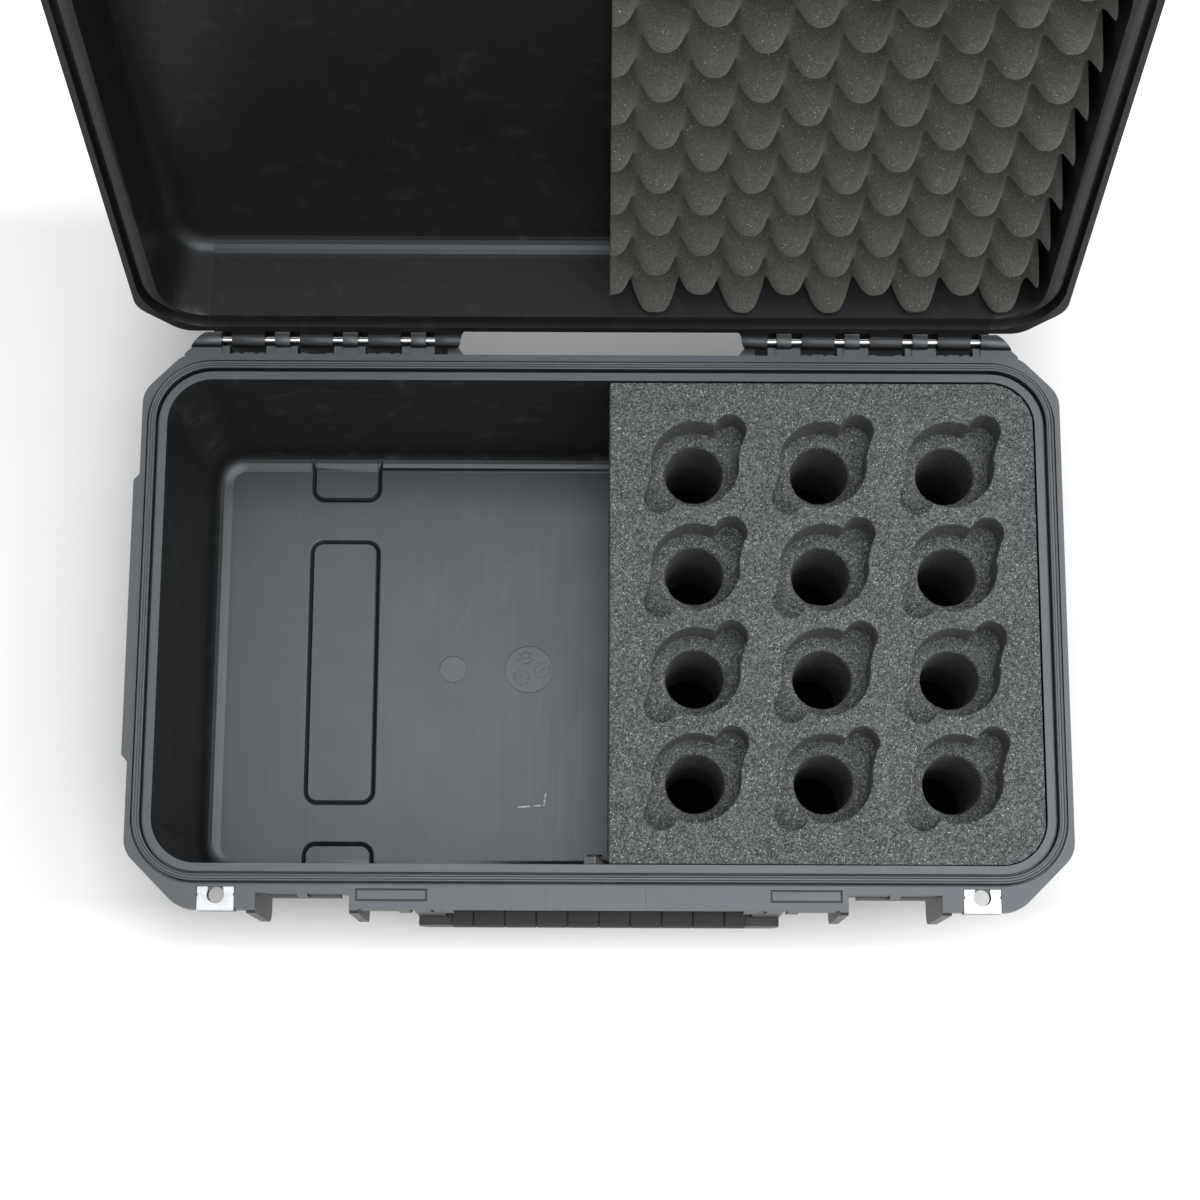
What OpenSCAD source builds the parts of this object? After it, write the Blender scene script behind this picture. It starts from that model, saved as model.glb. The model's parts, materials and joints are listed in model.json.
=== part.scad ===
// Hard microphone case with a hinged lid, shown open.
// X runs along the length, Y from the front to the hinge, Z up.
// The origin is at the centre of the bottom, on the surface the case stands on.
// A storage bay fills the left of the base and a foam insert the right.

/* [Inside] */
// Length of the opening at the rim
inner_length = 520.7; // [500:0.1:640]
// Width of the opening at the rim, front to back
inner_width = 292.1; // [285:0.1:380]
// Depth of the base, floor to rim
base_depth = 140; // [125:1:200]
// Depth of the lid, rim to roof
lid_depth = 51; // [46:1:80]
// Corner radius of the opening at the rim
corner_radius = 27; // [24:1:38]
// Draft angle of the moulded walls
draft_angle = 3; // [1:0.5:4]
// Radius where the walls meet the floor
floor_fillet = 11; // [8:1:15]

/* [Shell] */
// Thickness of the moulded walls
wall = 3.2; // [2.6:0.1:4]
// Thickness of the floor of the base
floor_thickness = 4; // [3:0.1:5]
// Height of the ribs on the back of the lid
lid_rib_height = 2; // [1:0.5:4]
// How far the stiffening columns stand out of the walls
column_depth = 1.8; // [1:0.1:3]
// Width of the rim on the two ends
rim_side = 15.2; // [14.8:0.1:20]
// Width of the rim at the back
rim_back = 16.1; // [15.8:0.1:20]
// Width of the rim at the front, with its ledge
rim_front = 26.2; // [26:0.1:32]
// Thickness of the base rim
rim_thickness = 6; // [5:0.5:8]
// Height of the skirt that hangs from the base rim
base_skirt = 14; // [12:1:18]
// Height of the skirt that stands on the lid rim
lid_skirt = 12; // [11:1:16]
// Thickness of both skirts
skirt_wall = 2.6; // [2:0.1:3.2]
// Chamfer of the outer corners at the back
back_chamfer = 24; // [20:1:26]
// Chamfer of the outer corners at the front
front_chamfer = 33; // [28:1:35]
// Gap between the two rims when the case is shut
seam_gap = 0.4; // [0.3:0.1:1]

/* [Rim seal] */
// Distance from the opening to the tongue on the base rim
tongue_offset = 6; // [5.8:0.1:6.4]
// Width of the tongue
tongue_width = 4.8; // [4:0.1:5]
// Height of the tongue
tongue_height = 3.5; // [2.5:0.1:4]
// Distance from the opening to the channel in the lid rim
channel_offset = 3.3; // [3:0.1:3.8]
// Width of the channel
channel_width = 8.3; // [8.1:0.1:8.8]
// Depth of the channel
channel_depth = 7; // [6.5:0.1:7.5]
// Width of the gasket in the channel
gasket_width = 5.4; // [5:0.1:6]
// Thickness of the gasket
gasket_thickness = 2.4; // [2:0.1:2.6]

/* [Hinge] */
// Angle the lid opens to
open_angle = 105; // [90:1:110]
// Distance from the back of the rim to the hinge axis
hinge_setback = 8.8; // [8.4:0.1:10]
// Diameter of the hinge pins
hinge_pin = 3.4; // [3:0.1:4]
// Radius of the knuckles
knuckle_radius = 4.8; // [4.4:0.1:5]
// Distance from one lid knuckle to the next
knuckle_pitch = 41; // [40:0.5:44]
// Length of a lid knuckle
lid_knuckle = 19.6; // [18:0.1:20]
// Length of a base knuckle
base_knuckle = 9; // [7:0.1:9.6]
// Distance from the end of the case to the outer knuckle's inner face
hinge_end_inset = 46.6; // [44:0.1:54]

/* [Latches] */
// Distance from the end of the case to the middle of a latch
latch_inset = 104.5; // [98:0.5:112]
// Width of a latch
latch_width = 50; // [46:1:52]
// Thickness of the latch plate
latch_thickness = 3.5; // [3:0.1:4]
// Reach of the latch below the seam
latch_drop = 40; // [36:1:46]
// Diameter of the latch pins
latch_pin = 3.4; // [3:0.1:4]
// Width of the trigger in the latch
trigger_width = 25; // [20:1:26]
// Diameter of the trigger pins
trigger_pin = 2.4; // [2:0.1:2.8]
// Thickness of the guard fins beside a latch
fin_thickness = 5.2; // [4:0.1:6]
// Height of the guard fins below the rim
fin_height = 71; // [60:1:80]

/* [Front handle] */
// Half length over the handle's outer legs
handle_reach = 109; // [100:1:112]
// Length of the rubber grip
grip_length = 178; // [150:1:184]
// Drop from the handle's pivot to the middle of its grip
handle_drop = 63; // [55:1:75]
// Thickness of the grip, front to back
grip_thickness = 20; // [16:1:21]
// Height of the grip
grip_height = 24; // [18:1:28]
// Diameter of the handle pins
handle_pin = 4; // [3:0.1:5]

/* [Side handle] */
// Length of the side handle over its legs
side_handle_length = 124; // [110:1:140]
// Drop from the pivot to the middle of the side grip
side_handle_drop = 44; // [38:1:56]
// Height of the side grip
side_grip_height = 20; // [16:1:24]

/* [Padlock plates] */
// Distance from the end of the case to the middle of a plate
plate_inset = 54.3; // [50:0.1:58]
// Width of a plate
plate_width = 21.4; // [18:0.1:24]
// Thickness of the steel
plate_gauge = 1.2; // [0.8:0.1:1.2]
// Diameter of the padlock hole
padlock_hole = 9.6; // [7:0.1:10]

/* [Foam insert] */
// Where the foam's free side stands
foam_edge = 5; // [-20:1:10]
// Diameter of a microphone pocket
pocket_diameter = 34.5; // [24:0.5:40]
// Distance from the middle of the case to the middle column
pocket_middle = 133; // [129:0.5:136]
// Distance between pocket columns
column_pitch = 76.4; // [74:0.1:80]
// Distance between pocket rows
row_pitch = 63.3; // [62:0.1:66]
// Diameter of the recess round a pocket
recess_diameter = 52; // [48:0.5:54]
// Diameter of the finger notches of a recess
notch_diameter = 19; // [16:0.5:21]
// Thickness of the top foam layer
foam_layer = 25.4; // [20:0.1:30]
// Thickness of the foam under the pockets
foam_pad = 13; // [8:1:30]

/* [Lid foam] */
// Distance between peaks along the length
peak_pitch = 51.5; // [44:0.5:60]
// Distance between neighbouring rows of peaks
peak_row = 19; // [17:0.1:26]
// Thickness of the lid foam in its valleys
valley_height = 14; // [8:1:20]
// Gap from the peaks to the foam insert when the case is shut
peak_gap = 0.8; // [0.5:0.1:10]

/* [Pressure valve] */
// Diameter of the valve's flange
valve_flange = 22; // [18:0.5:24]
// Diameter of the valve's shank
valve_shank = 9; // [7:0.5:10]
// Depth of the valve below the rim
valve_depth = 38; // [36:1:44]

/* [Hidden] */
$fn = 96;
FIT = 0.3;             // gap round foam and between pieces that only sit together
RUN = 0.05;            // radial running clearance of a pin in its bore
SIDE = 0.5;            // side clearance of a part that swings between ears
TOUCH = 0.02;          // gap between faces that press on each other
EPS = 1;               // overshoot of a cut past the face it opens
STRIP_STEP = 1.5;      // how far the hinge strip lies below the rim
GROOVE_DEPTH = 3.2;    // depth of the grooves beside the tongue
FILLET_STEPS = 6;      // flats in a floor fillet
CORNER_BLEND = 17;     // radius where an outer chamfer meets the sides
DEEP_LINE = 1.2;       // width of the moulded lines that read black
DEEP_CUT = 3.8;        // and their depth

floor_z = floor_thickness;
rim_z = floor_z + base_depth;
seam_z = rim_z + seam_gap;
half_l = inner_length / 2;
half_w = inner_width / 2;
corner_x = half_l - corner_radius;
corner_y = half_w - corner_radius;
outer_x = half_l + rim_side;
back_y = half_w + rim_back;
front_y = -(half_w + rim_front);
roof_z = seam_z + lid_depth;
lid_top_z = roof_z + wall;
hinge_y = back_y + hinge_setback;
ledge_back = -(half_w + 14.6);

function lean(depth) = depth * tan(draft_angle);
function arc(c, r, a0, a1, n) =
    [for (i = [0:n]) [c[0] + r * cos(a0 + (a1 - a0) * i / n),
                      c[1] + r * sin(a0 + (a1 - a0) * i / n)]];

// Points mirrored across an axis or both, kept in the same turning order
function reflect(points, sx, sy) =
    let (n = len(points))
    [for (i = [0:n - 1]) let (p = points[sx * sy > 0 ? i : n - 1 - i]) [sx * p[0], sy * p[1]]];

// ---- Shapes that repeat ----

// Half section of a tub's inside or outside: a drafted wall on a filleted floor
function tub_section(grow, top, bottom, fillet) =
    let (r = corner_radius + grow,
         wall_r = r - lean(top - bottom - fillet),
         centre = [wall_r - fillet / cos(draft_angle), bottom + fillet])
    concat([[0, bottom]],
           arc(centre, fillet, -90, -draft_angle, FILLET_STEPS),
           [[r, top], [0, top]]);

// Sweeps a section, drawn outward from four corner centres, round them
module round_sweep(section, cx = corner_x, cy = corner_y) {
    for (side = [0, 1]) {
        mirror([side, 0, 0]) translate([cx, cy, 0])
            rotate([90, 0, 0]) linear_extrude(2 * cy) polygon(section);
        mirror([0, side, 0]) translate([-cx, cy, 0])
            rotate([90, 0, 90]) linear_extrude(2 * cx) polygon(section);
    }
    for (mx = [0, 1])
        for (my = [0, 1])
            mirror([mx, 0, 0]) mirror([0, my, 0]) translate([cx, cy, 0])
                rotate_extrude(angle = 90) polygon(section);
}

// A solid tub: the swept section with its middle filled
module tub(grow, top, bottom, fillet) {
    translate([-corner_x, -corner_y, bottom])
        cube([2 * corner_x, 2 * corner_y, top - bottom]);
    round_sweep(tub_section(grow, top, bottom, fillet));
}

// A ring of rectangular section between two distances from the opening
module ring(inner, width, bottom, top) {
    r = corner_radius + inner;
    round_sweep([[r, bottom], [r + width, bottom], [r + width, top], [r, top]]);
}

// A chamfered corner towards +X and +Y, with both its ends rounded
function chamfered(x, y, chamfer, r) =
    let (run = r * tan(22.5))
    concat(arc([x - r, y - chamfer - run], r, 0, 45, 4), arc([x - chamfer - run, y - r], r, 45, 90, 4));

// Outline of the rims, drawn in by a margin
function rim_outline(margin = 0) =
    let (shrink = (2 - sqrt(2)) * margin,
         back = chamfered(outer_x - margin, back_y - margin, back_chamfer - shrink,
                          CORNER_BLEND - margin),
         front = chamfered(outer_x - margin, -front_y - margin, front_chamfer - shrink,
                           CORNER_BLEND - margin))
    concat(back, reflect(back, -1, 1), reflect(front, -1, -1), reflect(front, 1, -1));

module rim_slab(bottom, top, margin = 0) {
    translate([0, 0, bottom]) linear_extrude(top - bottom) polygon(rim_outline(margin));
}

function rounded_box(x0, x1, y0, y1, r) =
    concat(arc([x1 - r, y1 - r], r, 0, 90, 5), arc([x0 + r, y1 - r], r, 90, 180, 5),
           arc([x0 + r, y0 + r], r, 180, 270, 5), arc([x1 - r, y0 + r], r, 270, 360, 5));

module block(low, high) {
    translate(low) cube(high - low);
}

// A cylinder along X
module rod_x(x0, x1, y, z, r) {
    translate([x0, y, z]) rotate([0, 90, 0]) cylinder(h = x1 - x0, r = r);
}

// A cylinder along Y
module rod_y(y0, y1, x, z, r) {
    translate([x, y1, z]) rotate([90, 0, 0]) cylinder(h = y1 - y0, r = r);
}

// A plate across X with its outline given as [y, z] points
module plate_x(x0, x1, points) {
    translate([x0, 0, 0]) rotate([90, 0, 90]) linear_extrude(x1 - x0) polygon(points);
}

// A plate across Y with its outline given as [x, z] points
module plate_y(y0, y1, points) {
    translate([0, y1, 0]) rotate([90, 0, 0]) linear_extrude(y1 - y0) polygon(points);
}

module both_sides() {
    children();
    mirror([1, 0, 0]) children();
}

// Puts the left or right copy of a part in place
module on_side(side) {
    mirror([side < 0 ? 1 : 0, 0, 0]) children();
}

// Swings the lid and all it carries from shut to open
module opened() {
    translate([0, hinge_y, rim_z]) rotate([-open_angle, 0, 0])
        translate([0, -hinge_y, -rim_z]) children();
}

// ---- Hinge ----

end_x1 = outer_x - hinge_end_inset;             // inner face of the outer base knuckle
end_x2 = outer_x - back_chamfer;                // its outer face, at the rim
first_lid_x = end_x1 - 6.4 - lid_knuckle / 2;   // middle of the outer lid knuckle
// inner lid knuckle, next to the window between the two hinges
inner_x1 = first_lid_x - 3 * knuckle_pitch + lid_knuckle / 2 + 0.6;
inner_x0 = inner_x1 - 18.4;
knuckle_slant = 7;                              // how far the window's ends are cut back
strip_back = hinge_y - 3.4;                     // back face of the base's hinge strip
pin_bore = hinge_pin / 2 + RUN;
pin_x0 = inner_x0 + knuckle_slant + 1;
pin_x1 = end_x2 - hinge_setback - knuckle_radius;   // ends inside the slanted outer knuckle
gutter_back = hinge_y + 9;                      // back of the gutter that the hinge sits in
GUTTER_WALL = 1.5;
gutter_top = rim_z - knuckle_radius - 0.8;
gutter_floor = rim_z - base_skirt;

// The hinge's outer end carries on along the chamfer of the corner
function hinge_end(y) = end_x2 - (y - back_y);

// Small posts and a bar that stand in the wells in front of the lid's knuckles
module well_posts() {
    post = 2.2;      // half width of a post
    bar = 3.5;       // half width of the bar
    root = back_y - 0.5;
    for (k = [0:2]) {
        x = first_lid_x - k * knuckle_pitch;
        for (s = [-1, 1])
            block([x + s * (lid_knuckle / 2 - post) - post, root, gutter_floor - EPS],
                  [x + s * (lid_knuckle / 2 - post) + post, back_y + 1.1, rim_z - 1.2]);
        if (k != 1)
            block([x - bar, root, gutter_floor - EPS], [x + bar, back_y + 1.5, rim_z - 1.8]);
    }
}

module base_hinge() {
    well_posts();
    difference() {
        union() {
            // gutter under the knuckles, and the arms that reach over it
            translate([0, 0, gutter_floor - 2]) linear_extrude(gutter_top - gutter_floor + 2)
                polygon([[inner_x0, back_y - 2], [end_x2, back_y - 2], [end_x2, back_y],
                         [hinge_end(gutter_back), gutter_back],
                         [inner_x0 + 2 * knuckle_slant, gutter_back],
                         [inner_x0, back_y]]);
            block([inner_x1 + SIDE, back_y - 2, rim_z - 7],
                  [hinge_end(strip_back), strip_back, rim_z - STRIP_STEP]);
            for (k = [0:2]) {
                x = first_lid_x - (k + 0.5) * knuckle_pitch;
                rod_x(x - base_knuckle / 2, x + base_knuckle / 2, hinge_y, rim_z, knuckle_radius);
                block([x - base_knuckle / 2, back_y - 1, rim_z - knuckle_radius],
                      [x + base_knuckle / 2, hinge_y, rim_z - FIT]);
            }
            intersection() {
                union() {
                    rod_x(end_x1, end_x2, hinge_y, rim_z, knuckle_radius);
                    block([end_x1, back_y - 1, rim_z - 7], [end_x2, hinge_y, rim_z - FIT]);
                }
                translate([0, 0, rim_z - 10]) linear_extrude(20)
                    polygon([[end_x1, back_y - 2], [end_x2, back_y - 2], [end_x2, back_y],
                             [hinge_end(hinge_y + 6), hinge_y + 6], [end_x1, hinge_y + 6]]);
            }
        }
        // the gutter's hollow, and the wells the lid knuckles turn in
        block([inner_x0 + 2 * knuckle_slant + 2, strip_back + 0.5, gutter_floor],
              [end_x1, gutter_back - GUTTER_WALL, rim_z - knuckle_radius - FIT]);
        for (k = [0:2]) {
            x = first_lid_x - k * knuckle_pitch;
            block([x - lid_knuckle / 2 - SIDE, back_y, gutter_floor],
                  [x + lid_knuckle / 2 + 2, gutter_back - GUTTER_WALL, rim_z + 6]);
        }
        block([inner_x1 - 7, back_y, gutter_floor],
              [inner_x1 + SIDE, gutter_back - GUTTER_WALL, rim_z + 6]);
        rod_x(pin_x0 - 1, pin_x1 + FIT, hinge_y, rim_z, pin_bore);
    }
}

module lid_hinge() {
    difference() {
        union() {
            for (k = [0:2]) {
                x = first_lid_x - k * knuckle_pitch;
                rod_x(x - lid_knuckle / 2, x + lid_knuckle / 2, hinge_y, rim_z, knuckle_radius);
                block([x - lid_knuckle / 2, back_y - 1, seam_z],
                      [x + lid_knuckle / 2, hinge_y, rim_z + knuckle_radius]);
            }
            intersection() {
                union() {
                    rod_x(inner_x0, inner_x1, hinge_y, rim_z, knuckle_radius);
                    block([inner_x0, back_y - 1, seam_z],
                          [inner_x1, hinge_y, rim_z + knuckle_radius]);
                }
                translate([0, 0, rim_z - 8]) linear_extrude(16)
                    polygon([[inner_x0, back_y - 2], [inner_x1, back_y - 2],
                             [inner_x1, hinge_y + 6], [inner_x0 + knuckle_slant, hinge_y + 6]]);
            }
        }
        rod_x(pin_x0 - 10, pin_x1, hinge_y, rim_z, pin_bore);
    }
}

module hinge_pin_of(side) {
    color("silver") on_side(side) rod_x(pin_x0, pin_x1, hinge_y, rim_z, hinge_pin / 2);
}

// ---- Front fittings that the base and lid share ----

latch_x = outer_x - latch_inset;
notch_half = latch_width / 2 + 2.1;
notch_back = front_y + 9;
fin_wall_y = -(half_w + wall - 1);              // inside the front wall's thickness
plate_x_mid = outer_x - plate_inset;
plate_hole_y = front_y + 8;
plate_back = front_y + 12.6;
pad_x1 = latch_x - notch_half - 3.5;            // outlined pad on the base's ledge
pad_x0 = pad_x1 - 41.6;

module ledge_notch(z0, z1, back) {
    both_sides() block([latch_x - notch_half, front_y - 20, z0],
                       [latch_x + notch_half, back, z1]);
}

// Seat of a padlock plate, cut into a ledge, with the hole through it
module plate_seat(z0, z1) {
    both_sides()
        block([plate_x_mid - plate_width / 2 - FIT, front_y - EPS, z0],
              [plate_x_mid + plate_width / 2 + FIT, plate_back + FIT, z1]);
}

// A steel plate folded over the front edge; fold is the way its front leg points
module padlock_plate(face_z, fold) {
    z0 = fold < 0 ? face_z - plate_gauge : face_z;
    leg = 9;
    u_half = 4.5;
    crimp = 1;       // radius of the faint crimp in each side
    color("lightgray") difference() {
        union() {
            block([plate_x_mid - plate_width / 2, front_y - plate_gauge, z0],
                  [plate_x_mid + plate_width / 2, plate_back, z0 + plate_gauge]);
            block([plate_x_mid - plate_width / 2, front_y - plate_gauge,
                   fold < 0 ? z0 - leg : z0],
                  [plate_x_mid + plate_width / 2, front_y - 0.1,
                   fold < 0 ? z0 + plate_gauge : z0 + plate_gauge + leg]);
        }
        translate([plate_x_mid, plate_hole_y, z0 - EPS])
            cylinder(h = plate_gauge + 2 * EPS, d = padlock_hole + 0.4);
        block([plate_x_mid - u_half, plate_hole_y, z0 - EPS],
              [plate_x_mid + u_half, plate_back + EPS, z0 + plate_gauge + EPS]);
        // crimped sides
        for (s = [-1, 1])
            translate([plate_x_mid + s * (plate_width / 2 + 0.4), plate_hole_y, z0 - EPS])
                cylinder(h = plate_gauge + 2 * EPS, r = crimp);
    }
}

// ---- Base shell ----

floor_pad_x = 167.4;
floor_pad_w = 40.2;
PAD_CORNER = 6;
PAD_ROWS = [[-160, -120], [-90.2, 79.1], [110.6, 160]];
CHANNEL_WIDTH = 3.5;    // of the channels round the pads
CHANNEL_DEPTH = 2.9;
CHANNEL_ROLL = 1.2;     // radius of the channels' outer edge
RACETRACK = [[-90.2, 79.1], 7, 2.4, 0.8];   // underside outline: ends, offset, width, depth

// A shape swept round a pad in the floor; the section is drawn outward from the corner centres
module round_pad(row, section) {
    translate([floor_pad_x, (row[0] + row[1]) / 2, 0])
        round_sweep(section, floor_pad_w / 2 - PAD_CORNER, (row[1] - row[0]) / 2 - PAD_CORNER);
}

// Channels round the pads: a sheer inner side, and an outer side that slopes down to its foot.
// They run on up the foot of the walls, and leave the shell whole behind them.
module floor_channels() {
    foot = PAD_CORNER + CHANNEL_WIDTH;
    bottom = floor_z - CHANNEL_DEPTH;
    up_wall = floor_z + 9;
    flat = 0.3;      // width of the channel's bottom
    section = concat([[PAD_CORNER, bottom], [PAD_CORNER + flat, bottom]],
                     arc([foot, floor_z - CHANNEL_ROLL], CHANNEL_ROLL, 145, 90, 3),
                     [[foot, up_wall], [PAD_CORNER, up_wall]]);
    intersection() {
        tub(wall - 1.2, rim_z, floor_z - CHANNEL_DEPTH, floor_fillet + 2.2);
        both_sides() for (row = PAD_ROWS) round_pad(row, section);
    }
}

// Shallow outline on the underside
module underside_lines() {
    r = PAD_CORNER + RACETRACK[1];
    both_sides() round_pad(RACETRACK[0], [[r, -EPS], [r + RACETRACK[2], -EPS],
                                          [r + RACETRACK[2], RACETRACK[3]], [r, RACETRACK[3]]]);
}

MARK_DEPTH = 0.7;       // of the dials and circles in the floor

// A circle cut into the floor
module floor_circle(r, width) {
    translate([0, 0, floor_z - MARK_DEPTH]) difference() {
        cylinder(h = MARK_DEPTH + EPS, r = r);
        translate([0, 0, -EPS]) cylinder(h = MARK_DEPTH + 3 * EPS, r = r - width);
    }
}

// Moulded dial: a ring of plain ticks round an arrow, with or without a circle
module dial(x, y, ticks, turn, circled) {
    translate([x, y, 0]) {
        if (circled) floor_circle(3.9, 0.45);
        for (i = [0:ticks - 1])
            rotate(360 * i / ticks)
                block([-0.3, 4.3, floor_z - MARK_DEPTH], [0.3, 5.5, floor_z + EPS]);
        rotate(turn) {
            block([-0.3, -2.8, floor_z - MARK_DEPTH], [0.3, 1.6, floor_z + EPS]);
            translate([0, 0, floor_z - MARK_DEPTH]) linear_extrude(MARK_DEPTH + EPS)
                polygon([[-0.9, 1.2], [0.9, 1.2], [0, 3]]);
        }
    }
}

module floor_marks() {
    translate([-95.3, -4.3, 0]) floor_circle(8.9, 0.5);
    translate([-46.2, -4.3, 0]) floor_circle(15.7, 0.5);
    dial(-48.2, 3.2, 7, -90, true);
    dial(-37.6, -4.9, 14, -50, false);
    dial(-51.0, -9.8, 14, 0, false);
}

// Left end of the rim swells out over the side handle
module side_swell(bottom, top) {
    swell = 3.5;
    half = side_handle_length / 2 + 25;
    translate([0, 0, bottom]) linear_extrude(top - bottom)
        polygon([[-outer_x + 5, -half], [-outer_x, -half], [-outer_x - swell, -half + 4],
                 [-outer_x - swell, half - 4], [-outer_x, half], [-outer_x + 5, half]]);
}

handle_y = front_y + 8;
handle_z = rim_z - 18;
HANDLE_EARS = [[handle_reach - 24.6, handle_reach - 17.6], [handle_reach - 11.4, handle_reach - 5.1],
               [handle_reach + 0.6, handle_reach + 7.4]];
ear_drop = 33;

module front_ear(x0, x1) {
    plate_x(x0, x1, concat([[fin_wall_y, rim_z - 2]], [[front_y, rim_z - 2]],
                           arc([front_y + 8, rim_z - ear_drop + 8], 8, 180, 270, 6),
                           [[fin_wall_y, rim_z - ear_drop - 6]]));
}

FIN_PROUD = 2.4;        // how far the guard fins stand out past the ledge

module latch_fins() {
    for (x = [latch_x - notch_half - fin_thickness, latch_x + notch_half])
        plate_x(x, x + fin_thickness,
                concat([[fin_wall_y, rim_z]], [[front_y - FIN_PROUD + 1.5, rim_z]],
                       [[front_y - FIN_PROUD, rim_z - 1.5]],
                       arc([front_y - FIN_PROUD + 9, rim_z - fin_height + 9], 9, 180, 270, 6),
                       [[fin_wall_y + lean(fin_height), rim_z - fin_height]]));
}

catch_z = rim_z - 19.5;
catch_half = 21;
catch_y = notch_back - 1.4;                     // outer face of the catch bar

module latch_catch() {
    block([latch_x - catch_half, catch_y, catch_z], [latch_x + catch_half, fin_wall_y, catch_z + 6]);
    block([latch_x - 3, notch_back - 1.6, rim_z - 10], [latch_x + 3, notch_back + EPS, rim_z]);
}

side_pivot_x = -(half_l + 9);
side_pivot_z = rim_z - 22;
SIDE_EARS = [[side_handle_length / 2 - 17, side_handle_length / 2 - 11],
             [side_handle_length / 2 + 0.6, side_handle_length / 2 + 6.6]];

module side_ear(y0, y1) {
    out_x = side_pivot_x - 7;
    plate_y(y0, y1, concat([[-(half_l + wall - 1), rim_z - 2]], [[out_x, rim_z - 2]],
                           arc([out_x + 7, side_pivot_z], 7, 180, 270, 6),
                           [[-(half_l + wall - 1) + 2, side_pivot_z - 16]]));
}

valve_x = -2.5;
valve_z = rim_z - valve_depth;
VALVE_PAD = 11;         // radius of the boss inside the wall
NUT_RADIUS = 7.8;       // over the corners of the valve's nut
NUT_HEIGHT = 4.6;
SEAL_GAP = 1.3;         // from the boss to the valve's flange
valve_boss_out = -(half_w + wall + 1);
valve_boss_in = -(half_w - lean(valve_depth) - 1.6);

module base_ribs() {
    inset = skirt_wall;
    z0 = rim_z - 11;
    for (y = [-96, 96]) both_sides()
        block([half_l + wall - 1, y - 1.2, z0], [outer_x - inset, y + 1.2, rim_z - 2]);
    for (x = [0, 60, 150, 215]) both_sides()
        block([x - 1.2, half_w + wall - 1, z0], [x + 1.2, back_y - inset, rim_z - 2]);
    for (x = [60, 128]) both_sides()
        block([x - 1.2, front_y + inset, z0], [x + 1.2, -(half_w + wall - 1), rim_z - 2]);
}

// Wide stiffening columns on the back and ends
module wall_columns() {
    grow = wall + column_depth;
    intersection() {
        tub(grow, rim_z - 1, 0, floor_fillet + grow);
        both_sides() union() {
            for (x = [56, 150]) block([x - 13, 0, 0], [x + 13, half_w + 20, rim_z]);
            for (y = [-96, 96]) block([corner_x, y - 12, 0], [half_l + 20, y + 12, rim_z]);
        }
    }
}

// The tongue: two rounded ridges with a shallow flat valley between them
function tongue_section() =
    let (r = corner_radius + tongue_offset, ridge = tongue_width / 5, top = rim_z + tongue_height)
    concat([[r, rim_z - 1], [r + tongue_width, rim_z - 1]],
           arc([r + tongue_width - ridge, top - ridge], ridge, 0, 160, 6),
           arc([r + ridge, top - ridge], ridge, 20, 180, 6));

PARTING_X = [-30.6, 27.1];

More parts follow.
